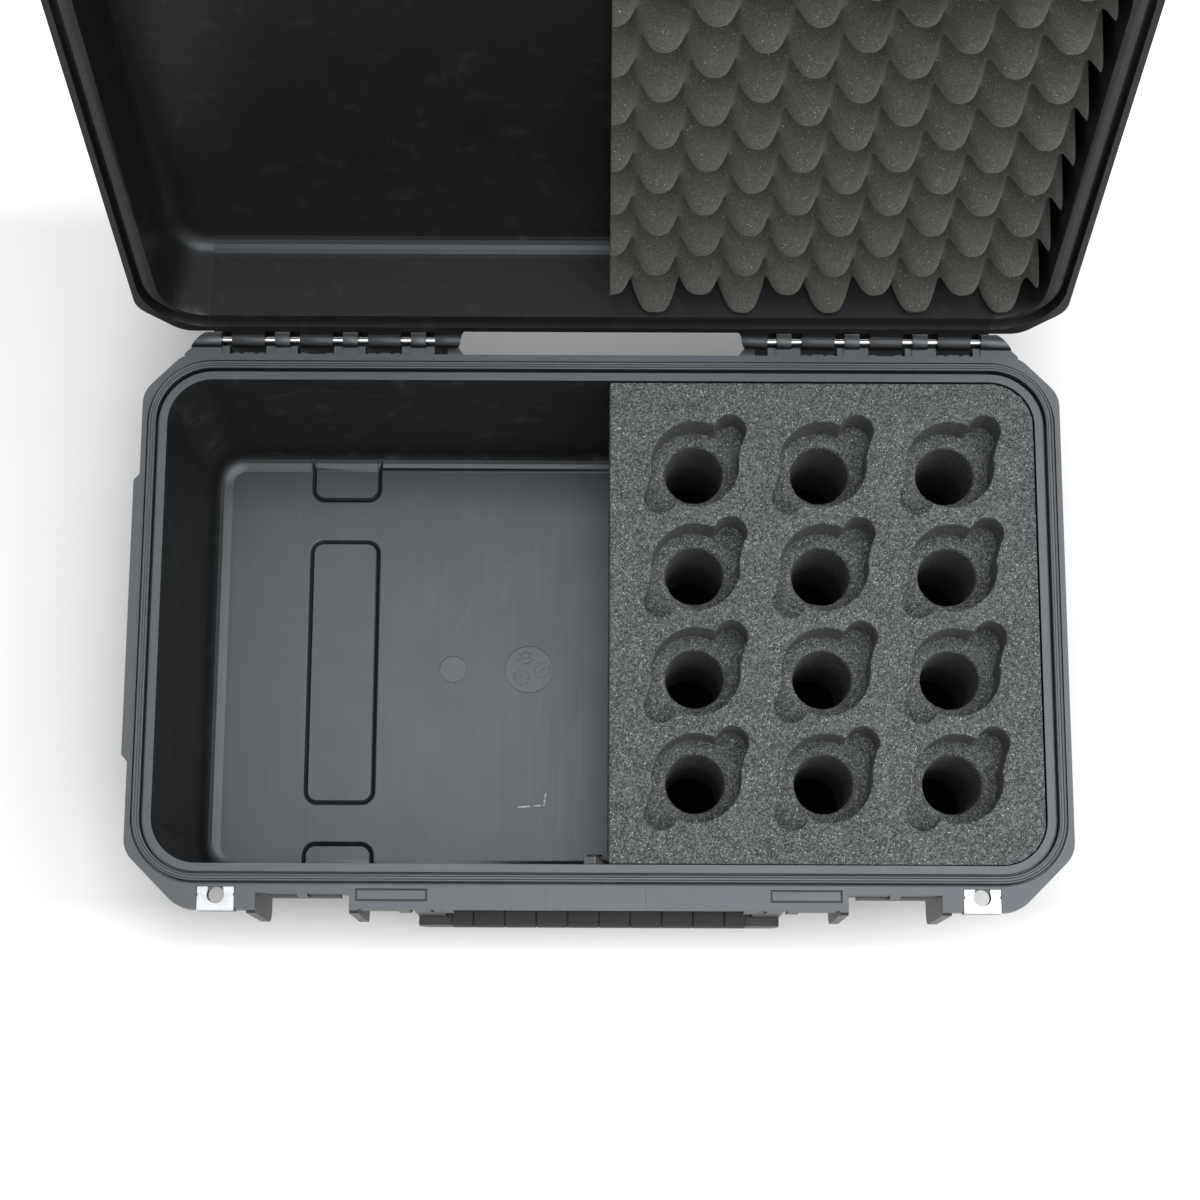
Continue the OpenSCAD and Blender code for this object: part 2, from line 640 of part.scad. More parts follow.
module base_shell() {
    color([0.17, 0.18, 0.19]) difference() {
        union() {
            difference() {
                union() {
                    tub(wall, rim_z - 1, 0, floor_fillet + wall);
                    wall_columns();
                    rim_slab(rim_z - rim_thickness, rim_z);
                    difference() {
                        rim_slab(rim_z - base_skirt, rim_z - 1);
                        rim_slab(rim_z - base_skirt - EPS, rim_z, skirt_wall);
                    }
                    side_swell(rim_z - base_skirt, rim_z);
                    round_sweep(tongue_section());
                }
                tub(0, rim_z, floor_z, floor_fillet);
                ledge_notch(rim_z - base_skirt - EPS, rim_z + EPS, notch_back);
                // the skirt opens over the handle's ears
                block([-handle_reach - 7, front_y - EPS, rim_z - base_skirt - EPS],
                      [handle_reach + 7, front_y + skirt_wall + EPS, rim_z - rim_thickness]);
            }
            both_sides() {
                latch_fins();
                latch_catch();
                block([latch_x - notch_half - 1, notch_back, rim_z - base_skirt],
                      [latch_x + notch_half + 1, notch_back + skirt_wall, rim_z - 1]);
                base_hinge();
                for (ear = HANDLE_EARS) front_ear(ear[0], ear[1]);
            }
            for (ear = SIDE_EARS) {
                side_ear(ear[0], ear[1]);
                side_ear(-ear[1], -ear[0]);
            }
            rod_y(valve_boss_out, -(half_w - lean(valve_depth) + 0.4), valve_x, valve_z, 14);
            rod_y(-(half_w - lean(valve_depth) + 1), valve_boss_in, valve_x, valve_z, VALVE_PAD);
            base_ribs();
        }
        // grooves each side of the tongue
        ring(tongue_offset - DEEP_LINE, DEEP_LINE, rim_z - GROOVE_DEPTH, rim_z + EPS);
        ring(tongue_offset + tongue_width, DEEP_LINE, rim_z - GROOVE_DEPTH, rim_z + EPS);
        // parting lines of the mould across the ledge
        for (x = PARTING_X)
            block([x - 0.25, front_y - EPS, rim_z - 0.4], [x + 0.25, -(half_w + 13), rim_z + EPS]);
        // padlock holes and the seats of their plates
        plate_seat(rim_z - 0.2 - plate_gauge, rim_z + EPS);
        both_sides() {
            translate([plate_x_mid, plate_hole_y, rim_z - 10]) cylinder(h = 12, d = padlock_hole);
            // outlined pad on the ledge
            difference() {
                block([pad_x0, front_y + 4.4, rim_z - DEEP_CUT], [pad_x1, front_y + 11.8, rim_z + EPS]);
                block([pad_x0 + DEEP_LINE, front_y + 4.4 + DEEP_LINE, rim_z - 2 * DEEP_CUT],
                      [pad_x1 - DEEP_LINE, front_y + 11.8 - DEEP_LINE, rim_z + 2 * EPS]);
            }
            rod_x(handle_reach - 26, handle_reach + 5, handle_y, handle_z, handle_pin / 2 + RUN);
        }
        for (side = [-1, 1])
            rod_y(side > 0 ? SIDE_EARS[0][0] - EPS : -SIDE_EARS[1][1] + 2,
                  side > 0 ? SIDE_EARS[1][1] - 2 : -SIDE_EARS[0][0] + EPS,
                  side_pivot_x, side_pivot_z, handle_pin / 2 + RUN);
        floor_channels();
        floor_marks();
        underside_lines();
        rod_y(valve_boss_out - 5, valve_boss_in + 5, valve_x, valve_z, valve_shank / 2 + FIT);
    }
}

// ---- Pressure valve ----

module valve_body() {
    color([0.2, 0.2, 0.21]) {
        rod_y(valve_boss_out - 4, valve_boss_out - SEAL_GAP, valve_x, valve_z, valve_flange / 2);
        rod_y(valve_boss_out - 6.5, valve_boss_out - 4, valve_x, valve_z, valve_flange / 2 - 3.5);
        rod_y(valve_boss_out - 2, valve_boss_in + 6, valve_x, valve_z, valve_shank / 2);
    }
}

module valve_seal() {
    color("black") difference() {
        rod_y(valve_boss_out - SEAL_GAP + TOUCH, valve_boss_out - TOUCH, valve_x, valve_z,
              valve_shank / 2 + 3);
        rod_y(valve_boss_out - 2, valve_boss_out + 1, valve_x, valve_z, valve_shank / 2 + RUN);
    }
}

module valve_nut() {
    color("dimgray") difference() {
        translate([valve_x, valve_boss_in + NUT_HEIGHT, valve_z]) rotate([90, 0, 0]) rotate(30)
            cylinder(h = NUT_HEIGHT, r = NUT_RADIUS, $fn = 6);
        rod_y(valve_boss_in - 1, valve_boss_in + 6, valve_x, valve_z, valve_shank / 2 + RUN);
    }
}

// ---- Foam insert ----

FOAM_BELOW_RIM = 1.2;   // how far the insert's top lies below the rim
foam_top = rim_z - FOAM_BELOW_RIM;
layer_z = foam_top - foam_layer;
pad_z = floor_z + FIT + foam_pad;
columns = [for (i = [-1, 0, 1]) pocket_middle + i * column_pitch];
rows = [for (i = [-1.5, -0.5, 0.5, 1.5]) i * row_pitch];

// The part of the cavity that the foam fills, between two heights
module foam_slice(bottom, top) {
    intersection() {
        tub(-FIT - lean(rim_z - foam_top), foam_top, floor_z + FIT, floor_fillet);
        difference() {
            block([foam_edge, -half_w - 5, bottom], [half_l + 5, half_w + 5, top]);
            // clear of the valve's boss and nut
            rod_y(-half_w, valve_boss_in + NUT_HEIGHT + 3, valve_x, valve_z, VALVE_PAD + 1);
        }
    }
}

module recess_cut() {
    reach = 21;
    h = foam_layer + 2 * EPS;
    recess_r = recess_diameter / 2 - 0.4;   // the side's ends lie inside both circles,
    notch_r = notch_diameter / 2 - 0.4;     // so that it crosses them at an angle
    cylinder(h = h, d = recess_diameter);
    for (turn = [0, 180]) rotate(turn) {
        translate([reach, reach, 0]) cylinder(h = h, d = notch_diameter);
        // the notch's outer side runs straight into the recess
        linear_extrude(h)
            polygon([[reach / 2, reach / 2], recess_r * [cos(8), sin(8)],
                     [reach, reach] + notch_r * [cos(-30), sin(-30)], [reach, reach]]);
    }
}

module foam_top_layer() {
    color([0.36, 0.37, 0.38]) difference() {
        foam_slice(layer_z, foam_top + 1);
        for (x = columns)
            for (y = rows) translate([x, y, layer_z - EPS]) recess_cut();
    }
}

module foam_pocket_block() {
    color([0.33, 0.34, 0.35]) difference() {
        foam_slice(pad_z, layer_z);
        for (x = columns)
            for (y = rows)
                translate([x, y, pad_z - EPS])
                    cylinder(h = layer_z - pad_z + 2 * EPS, d = pocket_diameter);
    }
}

module foam_floor_pad() {
    color([0.3, 0.31, 0.32]) foam_slice(floor_z, pad_z);
}

// ---- Lid ----

latch_pivot_y = front_y + 4.8;
latch_pivot_z = rim_z + 15;

module lid_fins() {
    for (x = [latch_x - notch_half - fin_thickness, latch_x + notch_half])
        plate_x(x, x + fin_thickness,
                concat([[fin_wall_y, seam_z + 1]], [[fin_wall_y, seam_z + 30]],
                       arc([front_y + 9, seam_z + 15], 9, 90, 180, 6), [[front_y, seam_z + 1]]));
}

// Long flat ribs on the back of the lid
module lid_rib(x0, x1, y0, y1) {
    translate([0, 0, lid_top_z - EPS]) linear_extrude(EPS + lid_rib_height)
        polygon(rounded_box(x0, x1, y0, y1, 6));
}

// Block of solid plastic round a padlock hole, inside the lid's skirt
module padlock_boss() {
    intersection() {
        rim_slab(seam_z, seam_z + channel_depth + 3);
        block([plate_x_mid - plate_width / 2 - 2, front_y, seam_z],
              [plate_x_mid + plate_width / 2 + 2, -(half_w + 14), seam_z + channel_depth + 3]);
    }
}

module lid_closed() {
    difference() {
        union() {
            translate([0, 0, seam_z + lid_top_z]) mirror([0, 0, 1])
                tub(wall, lid_top_z - 1, seam_z, floor_fillet + wall);
            rim_slab(seam_z, seam_z + 3.6);
            difference() {
                rim_slab(seam_z, seam_z + lid_skirt);
                rim_slab(seam_z - EPS, seam_z + lid_skirt + EPS, skirt_wall);
            }
            ring(-0.5, 15.1, seam_z, seam_z + channel_depth + 3);
            both_sides() {
                padlock_boss();
                lid_fins();
                lid_hinge();
                lid_rib(floor_pad_x - 16, floor_pad_x + 16, -84, 72);
            }
            lid_rib(-74, 74, -84, -60);
            lid_rib(-74, 74, 48, 72);
        }
        translate([0, 0, seam_z + roof_z]) mirror([0, 0, 1])
            tub(0, roof_z, seam_z, floor_fillet);
        ring(channel_offset, channel_width, seam_z - EPS, seam_z + channel_depth);
        ledge_notch(seam_z - EPS, seam_z + lid_skirt + EPS, ledge_back);
        plate_seat(seam_z - EPS, seam_z + 0.2 + plate_gauge);
        both_sides() {
            translate([plate_x_mid, plate_hole_y, seam_z - EPS])
                cylinder(h = 12, d = padlock_hole);
            rod_x(latch_x - notch_half - fin_thickness + 1.5, latch_x + notch_half + fin_thickness - 1.5,
                  latch_pivot_y, latch_pivot_z, latch_pin / 2 + RUN);
        }
    }
}

module lid_shell() {
    color([0.16, 0.17, 0.18]) opened() lid_closed();
}

module lid_gasket() {
    r0 = corner_radius + channel_offset + 0.6;
    z0 = seam_z + channel_depth - gasket_thickness - 0.1;
    color([0.25, 0.25, 0.25]) opened()
        round_sweep([[r0, z0 + 0.8], [r0 + 0.8, z0], [r0 + gasket_width - 0.8, z0],
                     [r0 + gasket_width, z0 + 0.8], [r0 + gasket_width, z0 + gasket_thickness],
                     [r0, z0 + gasket_thickness]]);
}

// Convoluted foam: peaks and valleys of a product of cosines, in a slab with round corners
foam_x0 = foam_edge;
foam_x1 = half_l - lean(lid_depth) - 2;
foam_half_y = half_w - lean(lid_depth) - 2;
foam_back_z = roof_z - FIT;
peak_height = foam_back_z - foam_top - peak_gap;
wave_mid = (valley_height + peak_height) / 2;
wave_amp = (peak_height - valley_height) / 2;
FIRST_PEAK = [31.5, 140];   // place of one peak
foam_nu = 26;
foam_nv = 40;
foam_corner = 24;

function foam_right(y) =
    let (over = max(0, abs(y) - (foam_half_y - foam_corner)))
    foam_x1 - (foam_corner - sqrt(max(0, foam_corner * foam_corner - over * over)));
// The sine blunts the tips and widens the valleys
function wave(x, y) =
    let (u = 360 * (x - FIRST_PEAK[0]) / peak_pitch, v = 180 * (y - FIRST_PEAK[1]) / peak_row)
    wave_mid + wave_amp * sin(90 * cos(u) * cos(v));

module lid_foam_closed() {
    w = foam_nu + 1;
    n = w * (foam_nv + 1);
    function row_y(j, inset) = (foam_half_y - inset) * (2 * j / foam_nv - 1);
    function column_x(i, j, inset) =
        foam_x0 + (foam_right(row_y(j, 0)) - inset - foam_x0) * i / foam_nu;
    // the back's outline, up the free side and on round the slab
    edge = concat([for (j = [0:foam_nv]) [0, j]], [for (i = [1:foam_nu]) [i, foam_nv]],
                  [for (j = [foam_nv - 1:-1:0]) [foam_nu, j]], [for (i = [foam_nu - 1:-1:1]) [i, 0]]);
    waves = [for (j = [0:foam_nv]) for (i = [0:foam_nu])
        let (x = column_x(i, j, 0), y = row_y(j, 0)) [x, y, foam_back_z - wave(x, y)]];
    // drawn in at the back, to clear the fillet of the roof
    rim = [for (e = edge) [column_x(e[0], e[1], floor_fillet), row_y(e[1], floor_fillet), foam_back_z]];
    front_faces = [for (j = [0:foam_nv - 1]) for (i = [0:foam_nu - 1])
        let (a = j * w + i) each [[a, a + 1, a + w + 1], [a, a + w + 1, a + w]]];
    side_faces = [for (k = [0:len(edge) - 1])
        let (next = (k + 1) % len(edge),
             a = edge[k][1] * w + edge[k][0], b = edge[next][1] * w + edge[next][0])
        each [[a, b, n + next], [a, n + next, n + k]]];
    // strips across the back, from the free side's points to those opposite
    function free_side(j) = n + j;
    function opposite(j) = n + 2 * foam_nv + foam_nu - j;
    last = foam_nv - 1;
    back_faces = concat(
        [for (j = [1:last - 1]) each [[free_side(j), free_side(j + 1), opposite(j + 1)],
                                      [free_side(j), opposite(j + 1), opposite(j)]]],
        [[free_side(1), opposite(1), opposite(0)], [opposite(last), free_side(last), opposite(foam_nv)]],
        [for (i = [0:foam_nu - 1])
            [free_side(foam_nv) + i, free_side(foam_nv) + i + 1, free_side(last)]],
        [for (i = [0:foam_nu - 1])
            [opposite(0) + i, i == foam_nu - 1 ? n : opposite(0) + i + 1, free_side(1)]]);
    polyhedron(concat(waves, rim), concat(front_faces, side_faces, back_faces));
}

module lid_foam() {
    color([0.3, 0.3, 0.28]) opened() lid_foam_closed();
}

// ---- Latches ----

plate_front = latch_pivot_y - 8;
plate_rear = plate_front + latch_thickness;
hook_z = catch_z - 1;
trigger_z = rim_z - 6;
trigger_y = plate_front + 1.6;
window_half = trigger_width / 2 + SIDE;

module latch_closed() {
    x0 = latch_x - latch_width / 2;
    x1 = latch_x + latch_width / 2;
    low_z = rim_z - latch_drop;
    difference() {
        union() {
            rod_x(x0, x1, latch_pivot_y, latch_pivot_z, 6.5);
            block([x0, plate_front, low_z], [x1, plate_rear, latch_pivot_z + 5]);
            block([x0, plate_front - 2, low_z - 3], [x1, plate_rear, low_z + 1]);
            for (x = [x0, x1 - 3]) plate_x(x, x + 3,
                [[plate_front + 1, low_z], [plate_rear + 1.5, low_z], [plate_rear + 1.5, rim_z],
                 [latch_pivot_y, latch_pivot_z - 4], [plate_front + 1, latch_pivot_z]]);
            // hooks that pass under the catch bar
            for (x = [x0 + 4, x1 - 12]) plate_x(x, x + 8,
                [[plate_rear - 1, hook_z], [catch_y - 0.6, hook_z], [catch_y - 0.6, hook_z - 2],
                 [plate_rear + 1, hook_z - 7], [plate_rear - 1, hook_z - 7]]);
            // cheeks that carry the trigger's pin
            for (x = [latch_x - window_half - 4, latch_x + window_half])
                rod_x(x, x + 4, trigger_y, trigger_z, 3.4);
        }
        rod_x(x0 - EPS, x1 + EPS, latch_pivot_y, latch_pivot_z, latch_pin / 2 + RUN);
        block([latch_x - window_half, plate_front - 3, low_z + 6],
              [latch_x + window_half, plate_rear + 5, trigger_z + 5]);
        rod_x(latch_x - window_half - 3, latch_x + window_half + 3, trigger_y, trigger_z,
              trigger_pin / 2 + RUN);
        // shallow frame line on the face
        difference() {
            block([x0 + 4, plate_front - EPS, low_z + 3], [x1 - 4, plate_front + 0.6, latch_pivot_z]);
            block([x0 + 4.8, plate_front - 2, low_z + 3.8],
                  [x1 - 4.8, plate_front + 2, latch_pivot_z - 0.8]);
        }
    }
}

module trigger_closed() {
    x0 = latch_x - trigger_width / 2;
    x1 = latch_x + trigger_width / 2;
    low_z = rim_z - latch_drop + 7;
    difference() {
        union() {
            rod_x(x0, x1, trigger_y, trigger_z, 3.2);
            block([x0, plate_front - 1, low_z], [x1, plate_front + 1.6, trigger_z]);
            block([x0, plate_front - 3, low_z], [x1, plate_front + 1.6, low_z + 3]);
        }
        rod_x(x0 - EPS, x1 + EPS, trigger_y, trigger_z, trigger_pin / 2 + RUN);
        // pocket for the spring
        block([latch_x - 4.6, trigger_y - 0.8, trigger_z - 4], [latch_x + 4.6, trigger_y + 5, trigger_z + 4]);
        rod_x(latch_x - 4.6, latch_x + 4.6, trigger_y, trigger_z, 2.4);
        for (z = [low_z + 6, low_z + 10, low_z + 14])
            block([x0 + 3, plate_front - 2, z], [x1 - 3, plate_front - 0.4, z + 1.4]);
    }
}

module trigger_spring_closed() {
    difference() {
        rod_x(latch_x - 4, latch_x + 4, trigger_y, trigger_z, 2);
        rod_x(latch_x - 5, latch_x + 5, trigger_y, trigger_z, trigger_pin / 2 + 0.15);
    }
}

module latch(side) {
    color([0.15, 0.15, 0.16]) opened() on_side(side) latch_closed();
}

module latch_pin_of(side) {
    color("silver") opened() on_side(side)
        rod_x(latch_x - notch_half - fin_thickness + 1.8, latch_x + notch_half + fin_thickness - 1.8,
              latch_pivot_y, latch_pivot_z, latch_pin / 2);
}

module trigger(side) {
    color([0.2, 0.2, 0.21]) opened() on_side(side) trigger_closed();
}

module trigger_pin_of(side) {
    color("silver") opened() on_side(side)
        rod_x(latch_x - window_half - 2.7, latch_x + window_half + 2.7, trigger_y, trigger_z,
              trigger_pin / 2);
}

module trigger_spring(side) {
    color("gray") opened() on_side(side) trigger_spring_closed();
}

// ---- Handles ----

grip_z = handle_z - handle_drop;
grip_y = front_y + 6.5;
LEG_OUTER = [HANDLE_EARS[1][1] + SIDE, HANDLE_EARS[2][0] - SIDE];
LEG_INNER = [HANDLE_EARS[0][1] + SIDE, HANDLE_EARS[1][0] - SIDE];

module handle_leg(x0, x1) {
    rod_x(x0, x1, handle_y, handle_z, 6);
    block([x0, handle_y - 6, grip_z], [x1, handle_y + 3, handle_z]);
}

module front_handle() {
    bar_half = grip_length / 2;
    color([0.15, 0.15, 0.16]) difference() {
        union() {
            both_sides() {
                handle_leg(LEG_OUTER[0], LEG_OUTER[1]);
                handle_leg(LEG_INNER[0], LEG_INNER[1]);
                // the two legs join below the ears
                block([LEG_INNER[0], handle_y - 6, grip_z - 6],
                      [LEG_OUTER[1], handle_y + 3, rim_z - ear_drop - 4]);
                plate_y(grip_y - grip_thickness / 2 + 0.4, grip_y + 7,
                    concat([[bar_half - 0.2, grip_z - 8]], [[LEG_OUTER[1] - 8, grip_z - 8]],
                           arc([LEG_OUTER[1] - 8, grip_z], 8, -90, 0, 5),
                           [[LEG_OUTER[1], grip_z + 8], [bar_half - 0.2, grip_z + 8]]));
            }
            block([-bar_half, grip_y - 5, grip_z - 6], [bar_half, grip_y + 5, grip_z + 6]);
        }
        both_sides() rod_x(LEG_INNER[0] - 2, LEG_OUTER[1] + 2, handle_y, handle_z,
                           handle_pin / 2 + RUN);
    }
}

GRIP_ROUND = 8;         // radius of a grip's edges
GRIP_GROOVE = [0.6, 0.5];   // width and depth of the grooves round a grip

// A slice of a grip's rounded section, drawn in by a margin
module grip_slice(x0, x1, thickness, height, margin = 0) {
    y = thickness / 2 - margin;
    z = height / 2 - margin;
    translate([x0, 0, 0]) rotate([90, 0, 90]) linear_extrude(x1 - x0)
        polygon(rounded_box(-y, y, -z, z, min(GRIP_ROUND, thickness / 2 - EPS) - margin));
}

// A grip with grooves round it, less the bar it is moulded round
module grip_body(length, thickness, height, bar_t, bar_h, pitch, count) {
    half = length / 2;
    difference() {
        grip_slice(-half, half, thickness, height);
        block([-half - EPS, -bar_t / 2 - 0.1, -bar_h / 2 - 0.1],
              [half + EPS, bar_t / 2 + 0.1, bar_h / 2 + 0.1]);
        for (k = [-count:count]) difference() {
            x0 = k * pitch - GRIP_GROOVE[0] / 2;
            grip_slice(x0, x0 + GRIP_GROOVE[0], thickness, height, -EPS);
            grip_slice(x0 - EPS, x0 + GRIP_GROOVE[0] + EPS, thickness, height, GRIP_GROOVE[1]);
        }
    }
}

module front_grip() {
    color([0.22, 0.23, 0.24]) translate([0, grip_y, grip_z])
        grip_body(grip_length - 0.6, grip_thickness, grip_height, 10, 12, 19, 4);
}

module handle_pins() {
    color("silver") both_sides()
        rod_x(handle_reach - 24.4, handle_reach + 4.6, handle_y, handle_z, handle_pin / 2);
}

side_grip_z = side_pivot_z - side_handle_drop;
side_half = side_handle_length / 2;

module side_handle() {
    color([0.15, 0.15, 0.16]) difference() {
        union() {
            for (s = [0, 1]) mirror([0, s, 0]) {
                rod_y(SIDE_EARS[0][1] + SIDE, SIDE_EARS[1][0] - SIDE, side_pivot_x, side_pivot_z, 6);
                block([side_pivot_x - 6, SIDE_EARS[0][1] + SIDE, side_grip_z - 6],
                      [side_pivot_x + 3, SIDE_EARS[1][0] - SIDE, side_pivot_z]);
            }
            block([side_pivot_x - 5, -side_half + 8, side_grip_z - 5],
                  [side_pivot_x + 2, side_half - 8, side_grip_z + 5]);
        }
        for (s = [0, 1]) mirror([0, s, 0])
            rod_y(SIDE_EARS[0][1] - 1, SIDE_EARS[1][0] + 1, side_pivot_x, side_pivot_z,
                  handle_pin / 2 + RUN);
    }
}

module side_grip() {
    length = 2 * SIDE_EARS[0][1] - 1;
    color([0.22, 0.23, 0.24]) translate([side_pivot_x - 1.5, 0, side_grip_z]) rotate(-90)
        grip_body(length, 14, side_grip_height, 7, 10, 16, 2);
}

module side_handle_pins() {
    color("silver") for (s = [0, 1]) mirror([0, s, 0])
        rod_y(SIDE_EARS[0][0] + 0.4, SIDE_EARS[1][1] - 2.4, side_pivot_x, side_pivot_z,
              handle_pin / 2);
}

// ---- Padlock plates ----

module base_padlock_plate(side) {
    on_side(side) padlock_plate(rim_z - 0.2, -1);
}

module lid_padlock_plate(side) {
    opened() on_side(side) padlock_plate(seam_z + 0.2, 1);
}

base_shell();
foam_top_layer();
foam_pocket_block();
foam_floor_pad();
hinge_pin_of(-1);  // hinge_pin_left
hinge_pin_of(1);  // hinge_pin_right
base_padlock_plate(-1);  // base_padlock_plate_left
base_padlock_plate(1);  // base_padlock_plate_right
valve_body();
valve_seal();
valve_nut();
handle_pins();
side_handle_pins();
lid_shell();
lid_gasket();
lid_foam();
lid_padlock_plate(-1);  // lid_padlock_plate_left
lid_padlock_plate(1);  // lid_padlock_plate_right
latch_pin_of(-1);  // latch_pin_left
latch_pin_of(1);  // latch_pin_right
latch(-1);  // latch_left
latch(1);  // latch_right
trigger(-1);  // trigger_left
trigger(1);  // trigger_right
trigger_pin_of(-1);  // trigger_pin_left
trigger_pin_of(1);  // trigger_pin_right
trigger_spring(-1);  // trigger_spring_left
trigger_spring(1);  // trigger_spring_right
front_handle();
front_grip();
side_handle();
side_grip();
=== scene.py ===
"""Looks of a hard microphone case, shown open on a pale studio floor.

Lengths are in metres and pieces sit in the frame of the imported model. Sizes that a maker would
give in millimetres are written as a number times MM.
"""

import json
import logging
import math
from dataclasses import dataclass
from typing import Any

import bmesh
import bpy
from mathutils import Matrix, Vector, noise

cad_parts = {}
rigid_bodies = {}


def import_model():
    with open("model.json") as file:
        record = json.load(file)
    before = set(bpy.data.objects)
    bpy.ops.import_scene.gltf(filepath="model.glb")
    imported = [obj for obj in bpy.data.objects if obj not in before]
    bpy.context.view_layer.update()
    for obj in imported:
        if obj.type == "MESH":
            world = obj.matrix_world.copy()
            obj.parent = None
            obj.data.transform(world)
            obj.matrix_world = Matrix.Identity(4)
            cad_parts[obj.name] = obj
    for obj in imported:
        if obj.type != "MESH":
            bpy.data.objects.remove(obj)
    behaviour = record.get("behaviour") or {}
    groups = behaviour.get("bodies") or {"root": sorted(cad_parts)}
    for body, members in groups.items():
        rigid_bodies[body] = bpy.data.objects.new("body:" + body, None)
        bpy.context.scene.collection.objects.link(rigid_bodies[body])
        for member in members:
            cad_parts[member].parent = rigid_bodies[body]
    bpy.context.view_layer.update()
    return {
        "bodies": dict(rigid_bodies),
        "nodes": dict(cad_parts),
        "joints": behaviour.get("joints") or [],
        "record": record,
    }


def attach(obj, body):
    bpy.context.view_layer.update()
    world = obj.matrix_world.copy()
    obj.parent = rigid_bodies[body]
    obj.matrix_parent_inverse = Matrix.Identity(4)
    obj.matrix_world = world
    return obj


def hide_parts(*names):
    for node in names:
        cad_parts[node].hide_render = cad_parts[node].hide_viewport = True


MM = 0.001
# noise keeps most of its values between these two
SWING = (0.3, 0.7)
log = logging.getLogger("microphone_case")

Colour = tuple[float, float, float, float]
Range = tuple[float, float]
Tree = bpy.types.NodeTree


def linear(code: str) -> Colour:
    """Turns an sRGB hex colour into linear light.

    Args:
        code: A colour such as "#26282a".

    Returns:
        Red, green and blue from 0 to 1 in linear light, and an alpha of 1.
    """
    parts = [int(code[i : i + 2], 16) / 255 for i in (1, 3, 5)]
    light = [c / 12.92 if c <= 0.04045 else ((c + 0.055) / 1.055) ** 2.4 for c in parts]
    return (light[0], light[1], light[2], 1.0)


def add(tree: Tree, kind: str, inputs: dict | None = None, **settings: Any) -> Any:
    """Adds one node to a tree, with its settings, values and links.

    Args:
        tree: The node tree to add to.
        kind: The node's type, without its ShaderNode prefix.
        inputs: Values or output sockets, by input name or index.
        **settings: Attributes of the node itself.

    Returns:
        The new node.
    """
    node = tree.nodes.new("ShaderNode" + kind)
    for name, value in settings.items():
        setattr(node, name, value)
    for key, value in (inputs or {}).items():
        if isinstance(value, bpy.types.NodeSocket):
            tree.links.new(value, node.inputs[key])
        else:
            node.inputs[key].default_value = value
    return node


def mix_colour(tree: Tree, share: Any, low: Any, high: Any) -> Any:
    """Mixes two colours.

    Args:
        tree: The node tree to add to.
        share: How much of the second colour shows, as a value or socket.
        low: The first colour, as a hex code or socket.
        high: The second colour, as a hex code or socket.

    Returns:
        The mixed colour's socket.
    """
    first, second = [linear(c) if isinstance(c, str) else c for c in (low, high)]
    # the node's sockets for colours are its inputs 6 and 7 and its output 2
    return add(tree, "Mix", {0: share, 6: first, 7: second}, data_type="RGBA").outputs[2]


def spread(tree: Tree, value: Any, low: float, high: float, to: Range = (0.0, 1.0)) -> Any:
    """Maps a value from one range to another, and holds it there.

    Args:
        tree: The node tree to add to.
        value: The socket to map.
        low: The value that gives the first end.
        high: The value that gives the second end.
        to: The two ends.

    Returns:
        The mapped value's socket.
    """
    ends = {"Value": value, "From Min": low, "From Max": high, "To Min": to[0], "To Max": to[1]}
    return add(tree, "MapRange", ends, clamp=True).outputs[0]


def combine(tree: Tree, operation: str, *values: Any) -> Any:
    """Joins values with one arithmetic operation and returns the result's socket."""
    return add(tree, "Math", dict(enumerate(values)), operation=operation).outputs[0]


def chain(tree: Tree, operation: str, first: Any, *rest: Any) -> Any:
    """Joins any number of values, one after another, and returns the result's socket."""
    for value in rest:
        first = combine(tree, operation, first, value)
    return first


def times(tree: Tree, first: Any, second: Any) -> Any:
    """Multiplies two values and returns the product's socket."""
    return combine(tree, "MULTIPLY", first, second)


def vector(tree: Tree, operation: str, inputs: dict) -> Any:
    """Does one vector operation and returns its node."""
    return add(tree, "VectorMath", inputs, operation=operation)


def upward(tree: Tree) -> Any:
    """Returns the socket of how far a face looks up, from -1 to 1."""
    normal = add(tree, "TexCoord").outputs["Normal"]
    return add(tree, "SeparateXYZ", {0: normal}).outputs[2]


def grain(tree: Tree, size: float, detail: float = 2.0, stretch: tuple = (1, 1, 1)) -> Any:
    """Noise of a real size, fixed to the piece.

    Args:
        tree: The node tree to add to.
        size: Distance from one spot to the next, in metres.
        detail: Number of finer layers.
        stretch: How many times longer the spots are along X, Y and Z.

    Returns:
        The noise value's socket, from 0 to 1.
    """
    place = add(tree, "TexCoord").outputs["Object"]
    place = vector(tree, "MULTIPLY", {0: place, 1: tuple(1 / s for s in stretch)}).outputs[0]
    values = {"Vector": place, "Scale": 1 / size, "Detail": detail, "Roughness": 0.6}
    return add(tree, "TexNoise", values).outputs["Fac"]


def relief(tree: Tree, height: Any, depth: float) -> Any:
    """Turns a height into bumps of a real depth.

    Args:
        tree: The node tree to add to.
        height: The height's socket, from 0 to 1.
        depth: The depth that a height of 1 stands for, in metres.

    Returns:
        The normal's socket.
    """
    return add(tree, "Bump", {"Height": height, "Distance": depth, "Strength": 1.0}).outputs[0]


